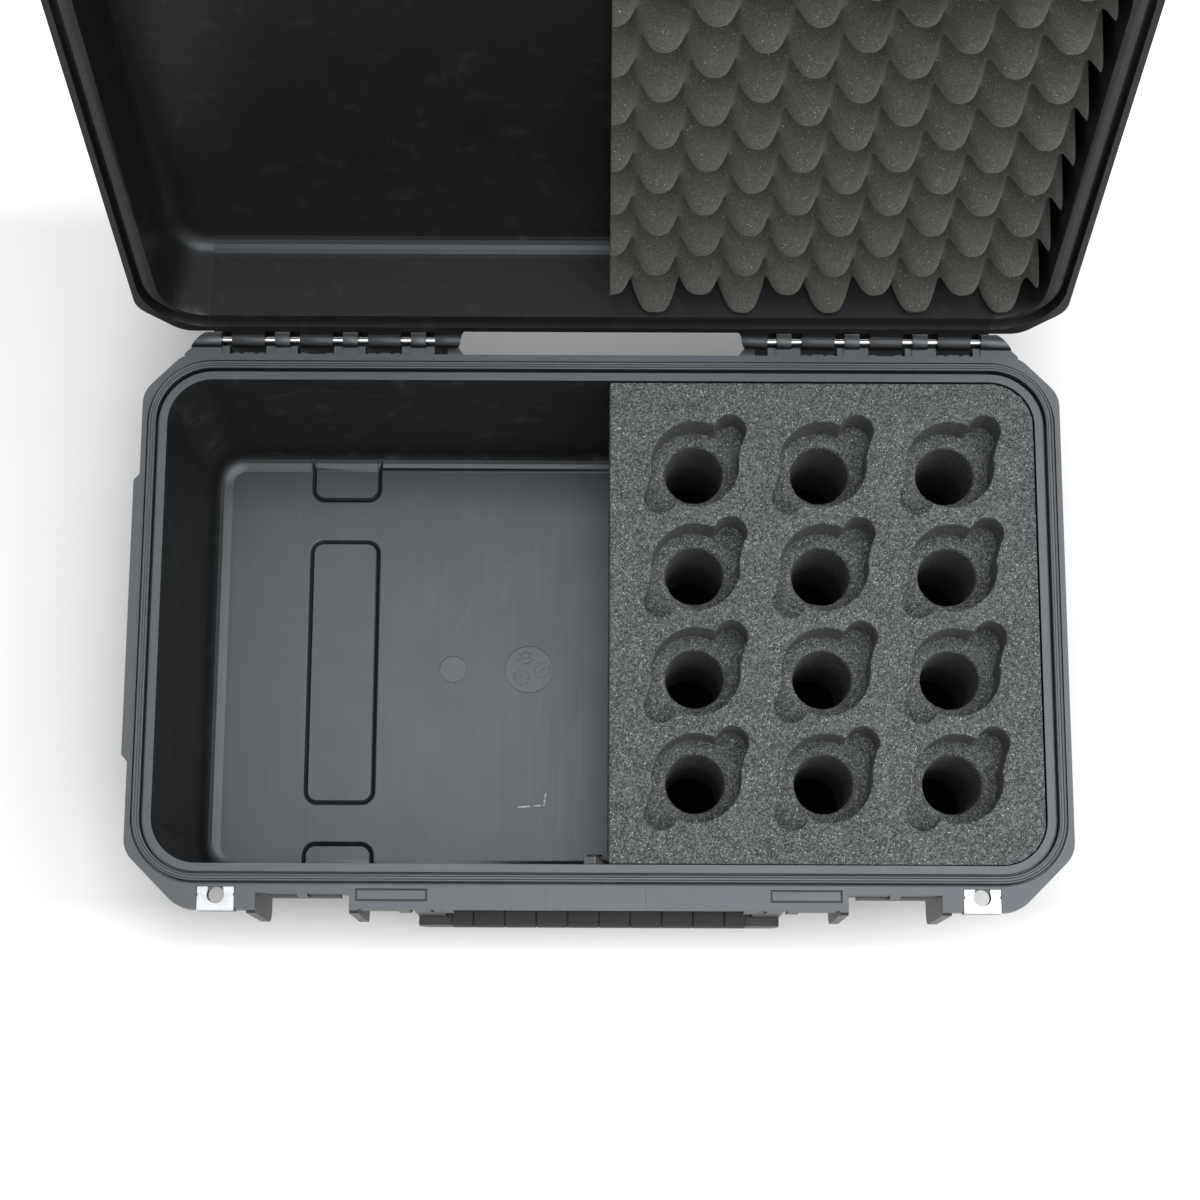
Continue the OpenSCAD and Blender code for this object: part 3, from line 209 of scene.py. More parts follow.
class Finish:
    """A finish: what a surface is made of and how it was made."""

    name: str

    def material(self) -> bpy.types.Material:
        """Returns the finish's material, made once."""
        found = bpy.data.materials.get(self.name)
        if found:
            return found
        made = bpy.data.materials.new(self.name)
        made.use_nodes = True
        made.node_tree.nodes.clear()
        shader = self.build(made.node_tree)
        add(made.node_tree, "OutputMaterial", {"Surface": shader.outputs[0]})
        return made

    def build(self, tree: Tree) -> Any:
        """Builds the shader in an empty tree and returns its last node."""
        raise NotImplementedError

    def dress(self, piece: bpy.types.Object) -> None:
        """Gives a piece this finish in place of what it wore."""
        piece.data.materials.clear()
        piece.data.materials.append(self.material())


@dataclass(frozen=True)
class Scratch:
    """A pale line on the floor or a wall of the bay, between two points in millimetres.

    A line on the floor runs along X and Y. One on the back wall, with `on_wall`, along X and Z.
    """

    start: tuple[float, float]
    end: tuple[float, float]
    width: float
    strength: float
    on_wall: bool = False

    def point(self, place: tuple[float, float]) -> Vector:
        """Returns one of the ends in metres, flattened along the axis that doesn't count."""
        first, second = place
        return Vector((first, 0, second) if self.on_wall else (first, second, 0)) * MM


@dataclass(frozen=True)
class Places:
    """Sockets that say where on the shell a point lies, each from 0 to 1."""

    level: Any
    in_bay: Any
    wall: Any
    back: Any
    disc: Any


class MouldedPolypropylene(Finish):
    """Injection-moulded polypropylene, black, with a fine satin grain.

    The eye sees near-black walls with a coarser grain inside the bay, a cool grey sheen where a
    level face mirrors the softbox over a pale layer of dust and painted sheen, faint flow lines,
    and rubbed spots.
    """

    name = "moulded_polypropylene"
    colour = "#161615"
    # what level faces are painted: a pale layer of dust and painted sheen on the floor, paler at
    # the rim's height as more painted sheen
    dust_and_sheen = "#3a3c3d"
    rim_dust_and_sheen = "#474a4c"
    rubbed = "#6c7073"
    stressed = "#e6e9ea"
    dust = "#a9a69c"
    tint = "#e4eef8"
    ior = 1.58
    # how strongly the sheer and the level faces mirror
    wall_sheen = 0.32
    level_sheen = 0.5
    # the roughness, and what clouds, flow lines, sheer walls and discs add to it
    roughness = 0.34
    cloud_swing = (-0.02, 0.03)
    flow_swing = (-0.02, 0.02)
    wall_grain = 0.22
    disc_polish = -0.02
    # how much of their colour smudges, specks and discs carry; smudges most on the back wall
    smudge_shares = (0.08, 0.16)
    speck_share = 0.35
    disc_share = 0.14
    # how far up a face looks before it counts as level, and from which heights up or down
    # the bay's floor, the rim and the back wall are taken to lie
    level_tilt = (0.6, 0.95)
    bay_heights = (30 * MM, 10 * MM)
    rim_heights = (110 * MM, 130 * MM)
    back_starts = (120 * MM, 130 * MM)
    inside_half = (268 * MM, 152 * MM)
    fade = 6 * MM
    disc_edge = 0.4 * MM
    # the noise behind each effect: distance between its spots, and its number of finer layers
    fine_noise = (0.9 * MM, 2)
    smudge_noise = (14 * MM, 6)
    speck_noise = (1.6 * MM, 1)
    break_noise = (2.5 * MM, 3)
    cloud_noise = (45 * MM, 3)
    # flow lines are also stretched, along Y and Z
    flow_noise = (1.6 * MM, 2, (1, 90, 90))
    # where in their noise smudges, specks and unbroken stretches of a scratch start and are full
    smudge_ends = (0.56, 0.72)
    speck_ends = (0.80, 0.84)
    break_ends = (0.35, 0.6)
    # depth of the grain, and the share of a scratch's half width that shows at full strength
    fine_depth = 0.03 * MM
    scratch_core = 0.3

    SCRATCHES = (
        Scratch((-98, 14), (-82, 44), 1.6, 0.20),
        Scratch((-92, 40), (-80, 22), 0.9, 0.16),
        Scratch((-64, 62), (-54, 70), 1.3, 0.22),
        Scratch((-199, 96), (-190, 118), 1.4, 0.18),
        Scratch((-130, 92), (-104, 72), 0.8, 0.10),
        Scratch((-190, 124), (-137, 124), 0.7, 0.5, on_wall=True),
        Scratch((-9, 88), (8, 96), 0.7, 0.3, on_wall=True),
    )
    # deep scores that whiten the plastic
    SCORES = (
        Scratch((-51.9, -94.2), (-35.7, -92.9), 1.5, 1.0),
        Scratch((-35.7, -92.9), (-34.7, -85.8), 1.3, 0.9),
    )
    # the smoother ends of the mould's inserts in the floor: middle and radius in millimetres
    DISCS = (((-95.3, -4.3), 8.7), ((-46.2, -4.3), 15.4))

    def build(self, tree: Tree) -> Any:
        """Builds the shader in an empty tree and returns its last node."""
        coords = add(tree, "TexCoord")
        place = add(tree, "SeparateXYZ", {0: coords.outputs["Object"]})
        at = self.places(tree, place)
        sheen = (self.wall_sheen, self.level_sheen)
        values = {
            "Base Color": self.colours(tree, coords, place, at),
            "Roughness": self.roughnesses(tree, at),
            "IOR": self.ior,
            "Specular IOR Level": spread(tree, at.level, 0, 1, sheen),
            "Specular Tint": linear(self.tint),
            "Normal": relief(tree, grain(tree, *self.fine_noise), self.fine_depth),
        }
        return add(tree, "BsdfPrincipled", values)

    def places(self, tree: Tree, place: Any) -> Places:
        """Works out where on the shell a point lies.

        Args:
            tree: The node tree to add to.
            place: The node with the point's separate coordinates.

        Returns:
            The sockets that say so.
        """
        level = spread(tree, upward(tree), *self.level_tilt)
        in_bay = times(tree, spread(tree, place.outputs[2], *self.bay_heights), level)
        sheer = combine(tree, "SUBTRACT", 1.0, level)
        wall = times(tree, self.inside_mask(tree, place), sheer)
        back = times(tree, wall, spread(tree, place.outputs[1], *self.back_starts))
        discs = [self.disc_mask(tree, place, *disc, in_bay) for disc in self.DISCS]
        return Places(level, in_bay, wall, back, chain(tree, "MAXIMUM", *discs))

    def colours(self, tree: Tree, coords: Any, place: Any, at: Places) -> Any:
        """Lays dust and painted sheen, discs, rubbing, specks and scores over the plastic's own colour.

        Args:
            tree: The node tree to add to.
            coords: The texture coordinate node.
            place: The node with the point's separate coordinates.
            at: Where on the shell the point lies.

        Returns:
            The colour's socket.
        """
        smudge = spread(tree, grain(tree, *self.smudge_noise), *self.smudge_ends)
        smudge = times(tree, smudge, spread(tree, at.back, 0, 1, self.smudge_shares))
        rubs = [
            self.scratch_mask(tree, coords, scratch, at.back if scratch.on_wall else at.in_bay)
            for scratch in self.SCRATCHES
        ]
        scores = [self.scratch_mask(tree, coords, score, at.in_bay) for score in self.SCORES]
        specks = spread(tree, grain(tree, *self.speck_noise), *self.speck_ends)
        # level faces take a pale layer of dust and painted sheen, paler at the rim's height as more
        # painted sheen
        rim_share = spread(tree, place.outputs[2], *self.rim_heights)
        dust_and_sheen = mix_colour(tree, rim_share, self.dust_and_sheen, self.rim_dust_and_sheen)
        colour = mix_colour(tree, at.level, self.colour, dust_and_sheen)
        layers = (
            (times(tree, at.disc, self.disc_share), self.rubbed),
            (chain(tree, "MAXIMUM", smudge, *rubs), self.rubbed),
            (times(tree, specks, self.speck_share), self.dust),
            (chain(tree, "MAXIMUM", *scores), self.stressed),
        )
        for share, over in layers:
            colour = mix_colour(tree, share, colour, over)
        return colour

    def roughnesses(self, tree: Tree, at: Places) -> Any:
        """Returns the socket of the roughness at a point of the shell."""
        cloud = spread(tree, grain(tree, *self.cloud_noise), *SWING, self.cloud_swing)
        flow = spread(tree, grain(tree, *self.flow_noise), *SWING, self.flow_swing)
        flow = times(tree, flow, at.level)
        walls = times(tree, at.wall, self.wall_grain)
        discs = times(tree, at.disc, self.disc_polish)
        return chain(tree, "ADD", cloud, flow, walls, discs, self.roughness)

    def inside_mask(self, tree: Tree, place: Any) -> Any:
        """Returns a socket that is 1 over the opening of the base and 0 outside it."""
        shares = []
        for axis, half in enumerate(self.inside_half):
            away = combine(tree, "ABSOLUTE", place.outputs[axis])
            shares.append(spread(tree, away, half - self.fade, half, (1, 0)))
        return times(tree, *shares)

    def disc_mask(self, tree: Tree, place: Any, middle: tuple, radius: float, where: Any) -> Any:
        """Returns a socket that is 1 within a radius of a point of the floor, in millimetres."""
        flat = add(tree, "CombineXYZ", {0: place.outputs[0], 1: place.outputs[1]}).outputs[0]
        centre = Vector((*middle, 0)) * MM
        away = vector(tree, "DISTANCE", {0: flat, 1: centre}).outputs["Value"]
        return times(tree, spread(tree, away, radius * MM, radius * MM - self.disc_edge), where)

    def scratch_mask(self, tree: Tree, coords: Any, scratch: Scratch, where: Any) -> Any:
        """How strongly a scratch shows at a point.

        Args:
            tree: The node tree to add to.
            coords: The texture coordinate node.
            scratch: The scratch.
            where: Socket that is 1 where scratches may show.

        Returns:
            The strength's socket.
        """
        start = scratch.point(scratch.start)
        along = scratch.point(scratch.end) - start
        plane = (1, 0, 1) if scratch.on_wall else (1, 1, 0)
        flat = vector(tree, "MULTIPLY", {0: coords.outputs["Object"], 1: plane}).outputs[0]
        away = vector(tree, "SUBTRACT", {0: flat, 1: start}).outputs[0]
        reach = along / along.length_squared
        share = vector(tree, "DOT_PRODUCT", {0: away, 1: reach}).outputs["Value"]
        share = spread(tree, share, 0, 1)
        nearest = vector(tree, "SCALE", {0: along, "Scale": share}).outputs[0]
        gap = vector(tree, "DISTANCE", {0: away, 1: nearest}).outputs["Value"]
        half = scratch.width * MM / 2
        mask = spread(tree, gap, half * self.scratch_core, half, (scratch.strength, 0))
        broken = spread(tree, grain(tree, *self.break_noise), *self.break_ends)
        return times(tree, times(tree, mask, broken), where)


class LidPolypropylene(MouldedPolypropylene):
    """The same moulding on the lid, which stands on edge: a copy of the shell's finish with painted
    shade, whose level faces carry a darker layer of dust and painted sheen and mirror less.
    """

    name = "moulded_polypropylene_lid"
    # painted shade: the lid's level faces are painted darker than the base's
    dust_and_sheen = "#2d2e2f"
    rim_dust_and_sheen = "#2d2e2f"
    level_sheen = 0.36


class SatinFitting(Finish):
    """Moulded polypropylene of the loose fittings: blacker and a little glossier than the shell."""

    name = "satin_fitting"
    colour = "#232425"
    top = "#232425"
    roughness = (0.31, 0.44)
    ior = 1.49
    # how far up a face looks before it wears the colour of the top
    top_tilt = (0.8, 0.95)
    # noise as in the shell: distance between its spots, and its number of finer layers
    cloud_noise = (12 * MM, 3)
    fine_noise = (0.7 * MM, 2)
    fine_depth = 0.02 * MM

    def build(self, tree: Tree) -> Any:
        """Builds the shader in an empty tree and returns its last node."""
        colour = mix_colour(tree, spread(tree, upward(tree), *self.top_tilt), self.colour, self.top)
        values = {"Base Color": colour, "IOR": self.ior}
        values["Roughness"] = spread(tree, grain(tree, *self.cloud_noise), *SWING, self.roughness)
        values["Normal"] = relief(tree, grain(tree, *self.fine_noise), self.fine_depth)
        return add(tree, "BsdfPrincipled", values)


class ValveNutFitting(SatinFitting):
    """The valve's nut: near black on its sheer flats, as painted shade, and pale on its upper flat, as
    a painted highlight of the softbox.
    """

    name = "valve_nut_fitting"
    # painted shade on the sheer flats and a painted highlight on the upper flat
    colour = "#101010"
    top = "#b9bdbf"


class Rubber(Finish):
    """Rubber: matt, with paler worn or dusty clouds."""

    ior = 1.52
    colour: str
    worn: str
    roughness: float
    cloud: float
    clouding: tuple[float, float, float]
    pebbles: tuple[float, float] | None = None

    def build(self, tree: Tree) -> Any:
        """Builds the shader in an empty tree and returns its last node."""
        low, high, most = self.clouding
        share = spread(tree, grain(tree, self.cloud, 4), low, high, (0, most))
        values = {"Base Color": mix_colour(tree, share, self.colour, self.worn)}
        values |= {"Roughness": self.roughness, "IOR": self.ior}
        if self.pebbles:
            size, depth = self.pebbles
            values["Normal"] = relief(tree, grain(tree, size, 1), depth)
        return add(tree, "BsdfPrincipled", values)


class GripRubber(Rubber):
    """Soft rubber moulded over a grip: matt, with a dry pebbled skin."""

    name = "grip_rubber"
    colour = "#1f2020"
    worn = "#303131"
    roughness = 0.72
    cloud = 9 * MM
    clouding = (0.5, 0.75, 0.5)
    pebbles = (0.8 * MM, 0.08 * MM)


class GasketRubber(Rubber):
    """Extruded sealing rubber: smooth, dark grey, slightly dusty."""

    name = "gasket_rubber"
    colour = "#3a3b3b"
    worn = "#565655"
    roughness = 0.6
    cloud = 6 * MM
    clouding = (0.5, 0.8, 0.6)


@dataclass(frozen=True)
class CellFoam(Finish):
    """Foam with its cells cut open: dark hollows between pale cell walls.

    The cells of the real foams are 0.6 to 1.5 mm, and are drawn at that size. Level faces are torn
    and pale. Sheer faces are painted darker, as painted shade: `side` is how bright they are beside
    the level ones. From the first height of `deep` down to the second, all fades to black, as painted
    shade of a deep pocket.
    """

    name: str
    hollow: str
    wall: str
    fleck: str
    cell: float
    depth: float
    fleck_share: float
    sheen: float
    side: float = 1.0
    deep: Range | None = None

    roughness = 0.95
    mirroring = 0.15
    sheen_roughness = 0.6
    # the noise that bends the cell walls: its scale and its reach beside the size of a cell
    warp_scale = 0.7
    warp_reach = 0.8
    # how far from a cell's middle its hollow ends and its wall is full, and where flecks lie
    wall_ends = (0.15, 0.65)
    fleck_ends = (0.5, 0.2)
    # brightness from the darkest cell to the brightest, and what broad clouds add to it
    cell_tones = (0.25, 1.0)
    broad_noise = (18 * MM, 3)
    broad_swing = (-0.06, 0.06)
    # how far up a face looks where it stops being level and where it counts as sheer
    sheer_tilt = (0.8, 0.3)

    def build(self, tree: Tree) -> Any:
        """Builds the shader in an empty tree and returns its last node."""
        place = add(tree, "TexCoord").outputs["Object"]
        cells = self.cells(tree, place)
        colour = mix_colour(tree, self.shade(tree, place), self.torn(tree, cells), "#000000")
        pits = combine(tree, "SUBTRACT", 1.0, cells.outputs["Distance"])
        values = {"Base Color": colour, "Roughness": self.roughness}
        values |= {"Specular IOR Level": self.mirroring}
        values |= {"Sheen Weight": self.sheen, "Sheen Roughness": self.sheen_roughness}
        values["Normal"] = relief(tree, pits, self.depth)
        return add(tree, "BsdfPrincipled", values)

    def cells(self, tree: Tree, place: Any) -> Any:
        """Returns the node of the cells, whose walls are bent by a little noise."""
        values = {"Vector": place, "Scale": self.warp_scale / self.cell, "Detail": 2.0}
        warp = add(tree, "TexNoise", values).outputs["Color"]
        bent = vector(tree, "SCALE", {0: warp, "Scale": self.cell * self.warp_reach}).outputs[0]
        bent = vector(tree, "ADD", {0: place, 1: bent}).outputs[0]
        return add(tree, "TexVoronoi", {"Vector": bent, "Scale": 1 / self.cell}, feature="F1")

    def torn(self, tree: Tree, cells: Any) -> Any:
        """Returns the socket of the torn face's colour, with its hollows, walls and flecks."""
        tone = add(tree, "SeparateXYZ", {0: cells.outputs["Color"]})
        edge = spread(tree, cells.outputs["Distance"], *self.wall_ends)
        light = times(tree, spread(tree, tone.outputs[0], 0.0, 1.0, self.cell_tones), edge)
        broad = spread(tree, grain(tree, *self.broad_noise), *SWING, self.broad_swing)
        colour = mix_colour(tree, combine(tree, "ADD", light, broad), self.hollow, self.wall)
        fleck = spread(tree, tone.outputs[1], 1 - self.fleck_share, 1.0)
        fleck = times(tree, fleck, spread(tree, cells.outputs["Distance"], *self.fleck_ends))
        return mix_colour(tree, fleck, colour, self.fleck)

    def shade(self, tree: Tree, place: Any) -> Any:
        """Returns the socket of the painted shade: how much darker than its level faces the foam is at
        a point.
        """
        # painted shade on sheer faces, and with `deep` painted shade that grows with depth
        shade = spread(tree, upward(tree), *self.sheer_tilt, (0, 1 - self.side))
        if self.deep:
            height = add(tree, "SeparateXYZ", {0: place}).outputs[2]
            shade = combine(tree, "MAXIMUM", shade, spread(tree, height, *self.deep))
        return shade


@dataclass(frozen=True)
class StainlessSteel(Finish):
    """Stainless steel, pressed or drawn, with the fine lines of the rolling along one axis."""

    name: str
    colour: str = "#a9abad"
    tarnish: str = "#8f9194"
    roughness: Range = (0.30, 0.46)
    lines: tuple = (30, 1, 1)

    # distance between the lines with their finer layers, and their depth
    line_noise = (0.5 * MM, 3)
    line_depth = 0.01 * MM
    # the same of the tarnish, and where in its noise it starts and is full
    dull_noise = (7 * MM, 4)
    dull_ends = (0.45, 0.8)

    def build(self, tree: Tree) -> Any:
        """Builds the shader in an empty tree and returns its last node."""
        lines = grain(tree, *self.line_noise, self.lines)
        dull = spread(tree, grain(tree, *self.dull_noise), *self.dull_ends)
        values = {"Base Color": mix_colour(tree, dull, self.colour, self.tarnish)}
        values |= {"Metallic": 1.0, "Roughness": spread(tree, lines, *SWING, self.roughness)}
        values["Normal"] = relief(tree, lines, self.line_depth)
        return add(tree, "BsdfPrincipled", values)


SHELL = MouldedPolypropylene()
LID_SHELL = LidPolypropylene()
FITTING = SatinFitting()
NUT = ValveNutFitting()
GRIP = GripRubber()
GASKET = GasketRubber()
PLATE = StainlessSteel("pressed_stainless_plate")
ROD = StainlessSteel("drawn_stainless_rod", "#c4c4c2", "#a8a8a6", (0.18, 0.34), (1, 20, 20))
# cross-linked polyethylene: charcoal, cells about 1 mm, cut faces full of pale torn cell walls
CUT = ("#2c2d2e", "#7e8283", "#d6dadb", 1.0 * MM, 0.5 * MM, 0.16, 0.1)
# painted shade: the top layer's sheer faces are painted darker
INSERT_FOAM = CellFoam("cut_polyethylene_foam", *CUT, side=0.5)
# the same foam below, with more painted shade: its bored sides painted darker, and all of it
# fading to black with depth, in the pockets and on the floor pad
SHADED_BORED_FOAM = CellFoam("bored_polyethylene_foam", *CUT, side=0.35, deep=(112 * MM, 60 * MM))
# open-cell polyurethane: finer, warmer and duller, with a few white specks
LID_FOAM = CellFoam(
    name="convoluted_polyurethane_foam",
    hollow="#3c3b37",
    wall="#63625c",
    fleck="#d0cfc8",
    cell=0.7 * MM,
    depth=0.25 * MM,
    fleck_share=0.03,
    sheen=0.2,
)


@dataclass(frozen=True)
class Softening:
    """The small radius that a mould or a press leaves on every edge."""

    width: float
    segments: int = 2
    angle: float = math.radians(30)
    merge: float = 0.002 * MM

    def soften(self, piece: bpy.types.Object) -> None:
        """Rounds a piece's edges with modifiers, leaving its mesh as it is."""
        weld = piece.modifiers.new("weld", "WELD")
        weld.merge_threshold = self.merge
        bevel = piece.modifiers.new("edges", "BEVEL")
        bevel.width = self.width
        bevel.segments = self.segments
        bevel.limit_method = "ANGLE"
        bevel.angle_limit = self.angle
        bevel.use_clamp_overlap = True
        bevel.harden_normals = True


def smooth(mesh: bpy.types.Mesh) -> None:
    """Shades a whole mesh smooth."""
    mesh.polygons.foreach_set("use_smooth", [True] * len(mesh.polygons))


def applied(piece: bpy.types.Object) -> None:
    """Applies a piece's modifiers to its mesh."""
    graph = bpy.context.evaluated_depsgraph_get()
    graph.update()
    mesh = bpy.data.meshes.new_from_object(piece.evaluated_get(graph))
    piece.modifiers.clear()
    piece.data = mesh


@dataclass
class FoamLayer:
    """One cut layer of the foam insert, in place of its plain solid."""

    node: str
    piece: str
    voxel: float
    rough: float
    finish: CellFoam
    # how much of each edge the wear takes off
    wear: float = 0.4
    # share and size of the torn cells' pits and of the broader unevenness
    pits: tuple = ((0.65, 2.2 * MM), (0.35, 9 * MM))
    # how far the face sinks on average, as a share of the roughness
    sink: float = 0.5

    def make(self, frame: dict) -> bpy.types.Object:
        """Remeshes the layer finely, wears its cut edges and roughens its faces.


        Returns:
            The finished piece.
        """
        mesh = frame["nodes"][self.node].data.copy()
        layer = bpy.data.objects.new(self.piece, mesh)
        bpy.context.scene.collection.objects.link(layer)
        remesh = layer.modifiers.new("remesh", "REMESH")
        remesh.mode = "VOXEL"
        remesh.voxel_size = self.voxel
        wear = layer.modifiers.new("wear", "SMOOTH")
        wear.factor = self.wear
        wear.iterations = 1
        applied(layer)
        self.roughen(layer.data)
        smooth(layer.data)
        self.finish.dress(layer)
        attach(layer, "base")
        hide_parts(self.node)
        return layer

    def roughen(self, mesh: bpy.types.Mesh) -> None:
        """Draws each point in along its normal by up to the roughness, as torn cells do."""
        depths = []
        for vertex in mesh.vertices:
            uneven = sum(share * noise.noise(vertex.co / size) for share, size in self.pits)
            depths.append((uneven - self.sink) * self.rough)
        normals = [v.normal.copy() for v in mesh.vertices]
        for vertex, normal, depth in zip(mesh.vertices, normals, depths):
            vertex.co += normal * depth


@dataclass
class LidFoam:
    """Convoluted foam in the right of the lid: blunt tongues in staggered rows.

    The slab fills the space of its plain solid, worked out as if the lid were shut.
    Sizes are in millimetres.
    """

    x0: float
    x1: float
    half_y: float
    back_z: float
    peak_z: float
    shut: Matrix
    corner: float = 24.0
    inset: float = 11.0
    peak_pitch: float = 51.5
    peak_row: float = 19.0
    first_peak: tuple[float, float] = (31.5, 140.0)
    valley: float = 14.0
    columns: int = 170
    rows: int = 200
    # how far the face stays inside the plain solid, which leaves room for its unevenness
    trim: float = 0.9
    unevenness: float = 0.6
    # height, size and level in the noise of the broad and the fine unevenness
    swells: tuple = ((1.2, 16, 0), (0.25, 2.6, 5))

    @classmethod
    def from_frame(cls, frame: dict) -> "LidFoam":
        """Reads the slab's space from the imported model.


        Returns:
            The foam, ready to make.
        """
        hinge = next(joint for joint in frame["joints"] if joint["name"] == "lid_hinge")
        pivot = Matrix.Translation(Vector(hinge["pos_m"]))
        angle = math.radians(hinge["range_deg"][1])
        shut = pivot @ Matrix.Rotation(angle, 4, Vector(hinge["axis"])) @ pivot.inverted()
        points = [shut @ vertex.co / MM for vertex in frame["nodes"]["lid_foam"].data.vertices]
        low = [min(point[axis] for point in points) for axis in range(3)]
        high = [max(point[axis] for point in points) for axis in range(3)]
        return cls(low[0], high[0], high[1], high[2], low[2], shut)

    def height(self, x: float, y: float) -> float:
        """Thickness of the foam at a point, from its back to its face."""
        along = math.cos(2 * math.pi * (x - self.first_peak[0]) / self.peak_pitch)
        across = math.cos(math.pi * (y - self.first_peak[1]) / self.peak_row)
        peak = self.back_z - self.peak_z
        swing = math.sin(math.pi / 2 * along * across)
        return (self.valley + peak) / 2 + (peak - self.valley) / 2 * swing

    def face_z(self, x: float, y: float) -> float:
        """Height of the foam's face at a point, a little uneven as torn foam is."""
        uneven = sum(
            noise.noise(Vector((x, y, level)) / size) * swell for swell, size, level in self.swells
        )
        return self.back_z - (self.height(x, y) - self.trim + uneven * self.unevenness)

    def right_edge(self, y: float) -> float:
        """Where the slab ends on the right, with its rounded corners."""
        over = max(0.0, abs(y) - (self.half_y - self.corner))
        return self.x1 - self.corner + math.sqrt(max(0.0, self.corner**2 - over**2))

    def rim(self) -> list[tuple[int, int]]:
        """Column and row of each point round the slab's edge, in order."""
        last_column, last_row = self.columns, self.rows
        return [
            *((0, j) for j in range(last_row + 1)),
            *((i, last_row) for i in range(1, last_column + 1)),
            *((last_column, j) for j in range(last_row - 1, -1, -1)),
            *((i, 0) for i in range(last_column - 1, 0, -1)),
        ]

    def points(self, mesh: bmesh.types.BMesh) -> tuple[list, list]:
        """Adds the points of the face and of the back's edge.

        Args:
            mesh: The mesh to add to.

        Returns:
            The rows of points of the face, and those of the back, with None off its edge.
        """
        turn = self.shut.inverted()

        def point(x: float, y: float, z: float) -> bmesh.types.BMVert:
            return mesh.verts.new(turn @ (Vector((x, y, z)) * MM))

        front, back = [], []
        for j in range(self.rows + 1):
            share = 2 * j / self.rows - 1
            y = self.half_y * share
            y_back = (self.half_y - self.inset) * share
            right = self.right_edge(y)
            front_row, back_row = [], []
            for i in range(self.columns + 1):
                u = i / self.columns
                x = self.x0 + (right - self.x0) * u
                front_row.append(point(x, y, self.face_z(x, y)))
                on_edge = i in (0, self.columns) or j in (0, self.rows)
                x_back = self.x0 + (right - self.inset - self.x0) * u
                back_row.append(point(x_back, y_back, self.back_z) if on_edge else None)
            front.append(front_row)
            back.append(back_row)
        return front, back

    def make(self) -> bpy.types.Object:
        """Builds the slab and its peaks and returns the finished piece."""
        mesh = bmesh.new()
        front, back = self.points(mesh)
        for j in range(self.rows):
            for i in range(self.columns):
                near, far = front[j], front[j + 1]
                mesh.faces.new((near[i], near[i + 1], far[i + 1], far[i]))
        rim = self.rim()
        for (i0, j0), (i1, j1) in zip(rim, rim[1:] + rim[:1]):
            mesh.faces.new((front[j0][i0], front[j1][i1], back[j1][i1], back[j0][i0]))
        mesh.faces.new([back[j][i] for i, j in rim])
        bmesh.ops.recalc_face_normals(mesh, faces=mesh.faces)
        data = bpy.data.meshes.new("lid_foam_cushion")
        mesh.to_mesh(data)
        mesh.free()
        smooth(data)
        foam = bpy.data.objects.new("lid_foam_cushion", data)
        bpy.context.scene.collection.objects.link(foam)
        LID_FOAM.dress(foam)
        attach(foam, "lid")
        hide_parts("lid_foam")
        return foam


class Dress:
    """Gives the carried-over pieces their finishes and their soft edges."""

    # finish, radius of the edges and nodes; the pins and springs aren't listed
    ROWS = (
        (SHELL, 0.5 * MM, ("base_shell",)),
        (LID_SHELL, 0.5 * MM, ("lid_shell",)),
        (FITTING, 0.8 * MM, ("front_handle", "side_handle")),
        (FITTING, 0.5 * MM, ("latch_left", "latch_right")),
        (FITTING, 0.3 * MM, ("trigger_left", "trigger_right")),
        (FITTING, 0.4 * MM, ("valve_body",)),
        (NUT, 0.3 * MM, ("valve_nut",)),
        (GRIP, 0.5 * MM, ("front_grip", "side_grip")),
        (GASKET, None, ("valve_seal", "lid_gasket")),
        (PLATE, 0.25 * MM, ("base_padlock_plate_left", "base_padlock_plate_right")),
        (PLATE, 0.25 * MM, ("lid_padlock_plate_left", "lid_padlock_plate_right")),
    )

    def apply(self, frame: dict) -> None:
        """Dresses every carried-over node that is shown.
        """
        wears = {name: (finish, width) for finish, width, names in self.ROWS for name in names}
        for name, piece in frame["nodes"].items():
            finish, width = wears.get(name, (ROD, None))
            finish.dress(piece)
            if width:
                Softening(width).soften(piece)


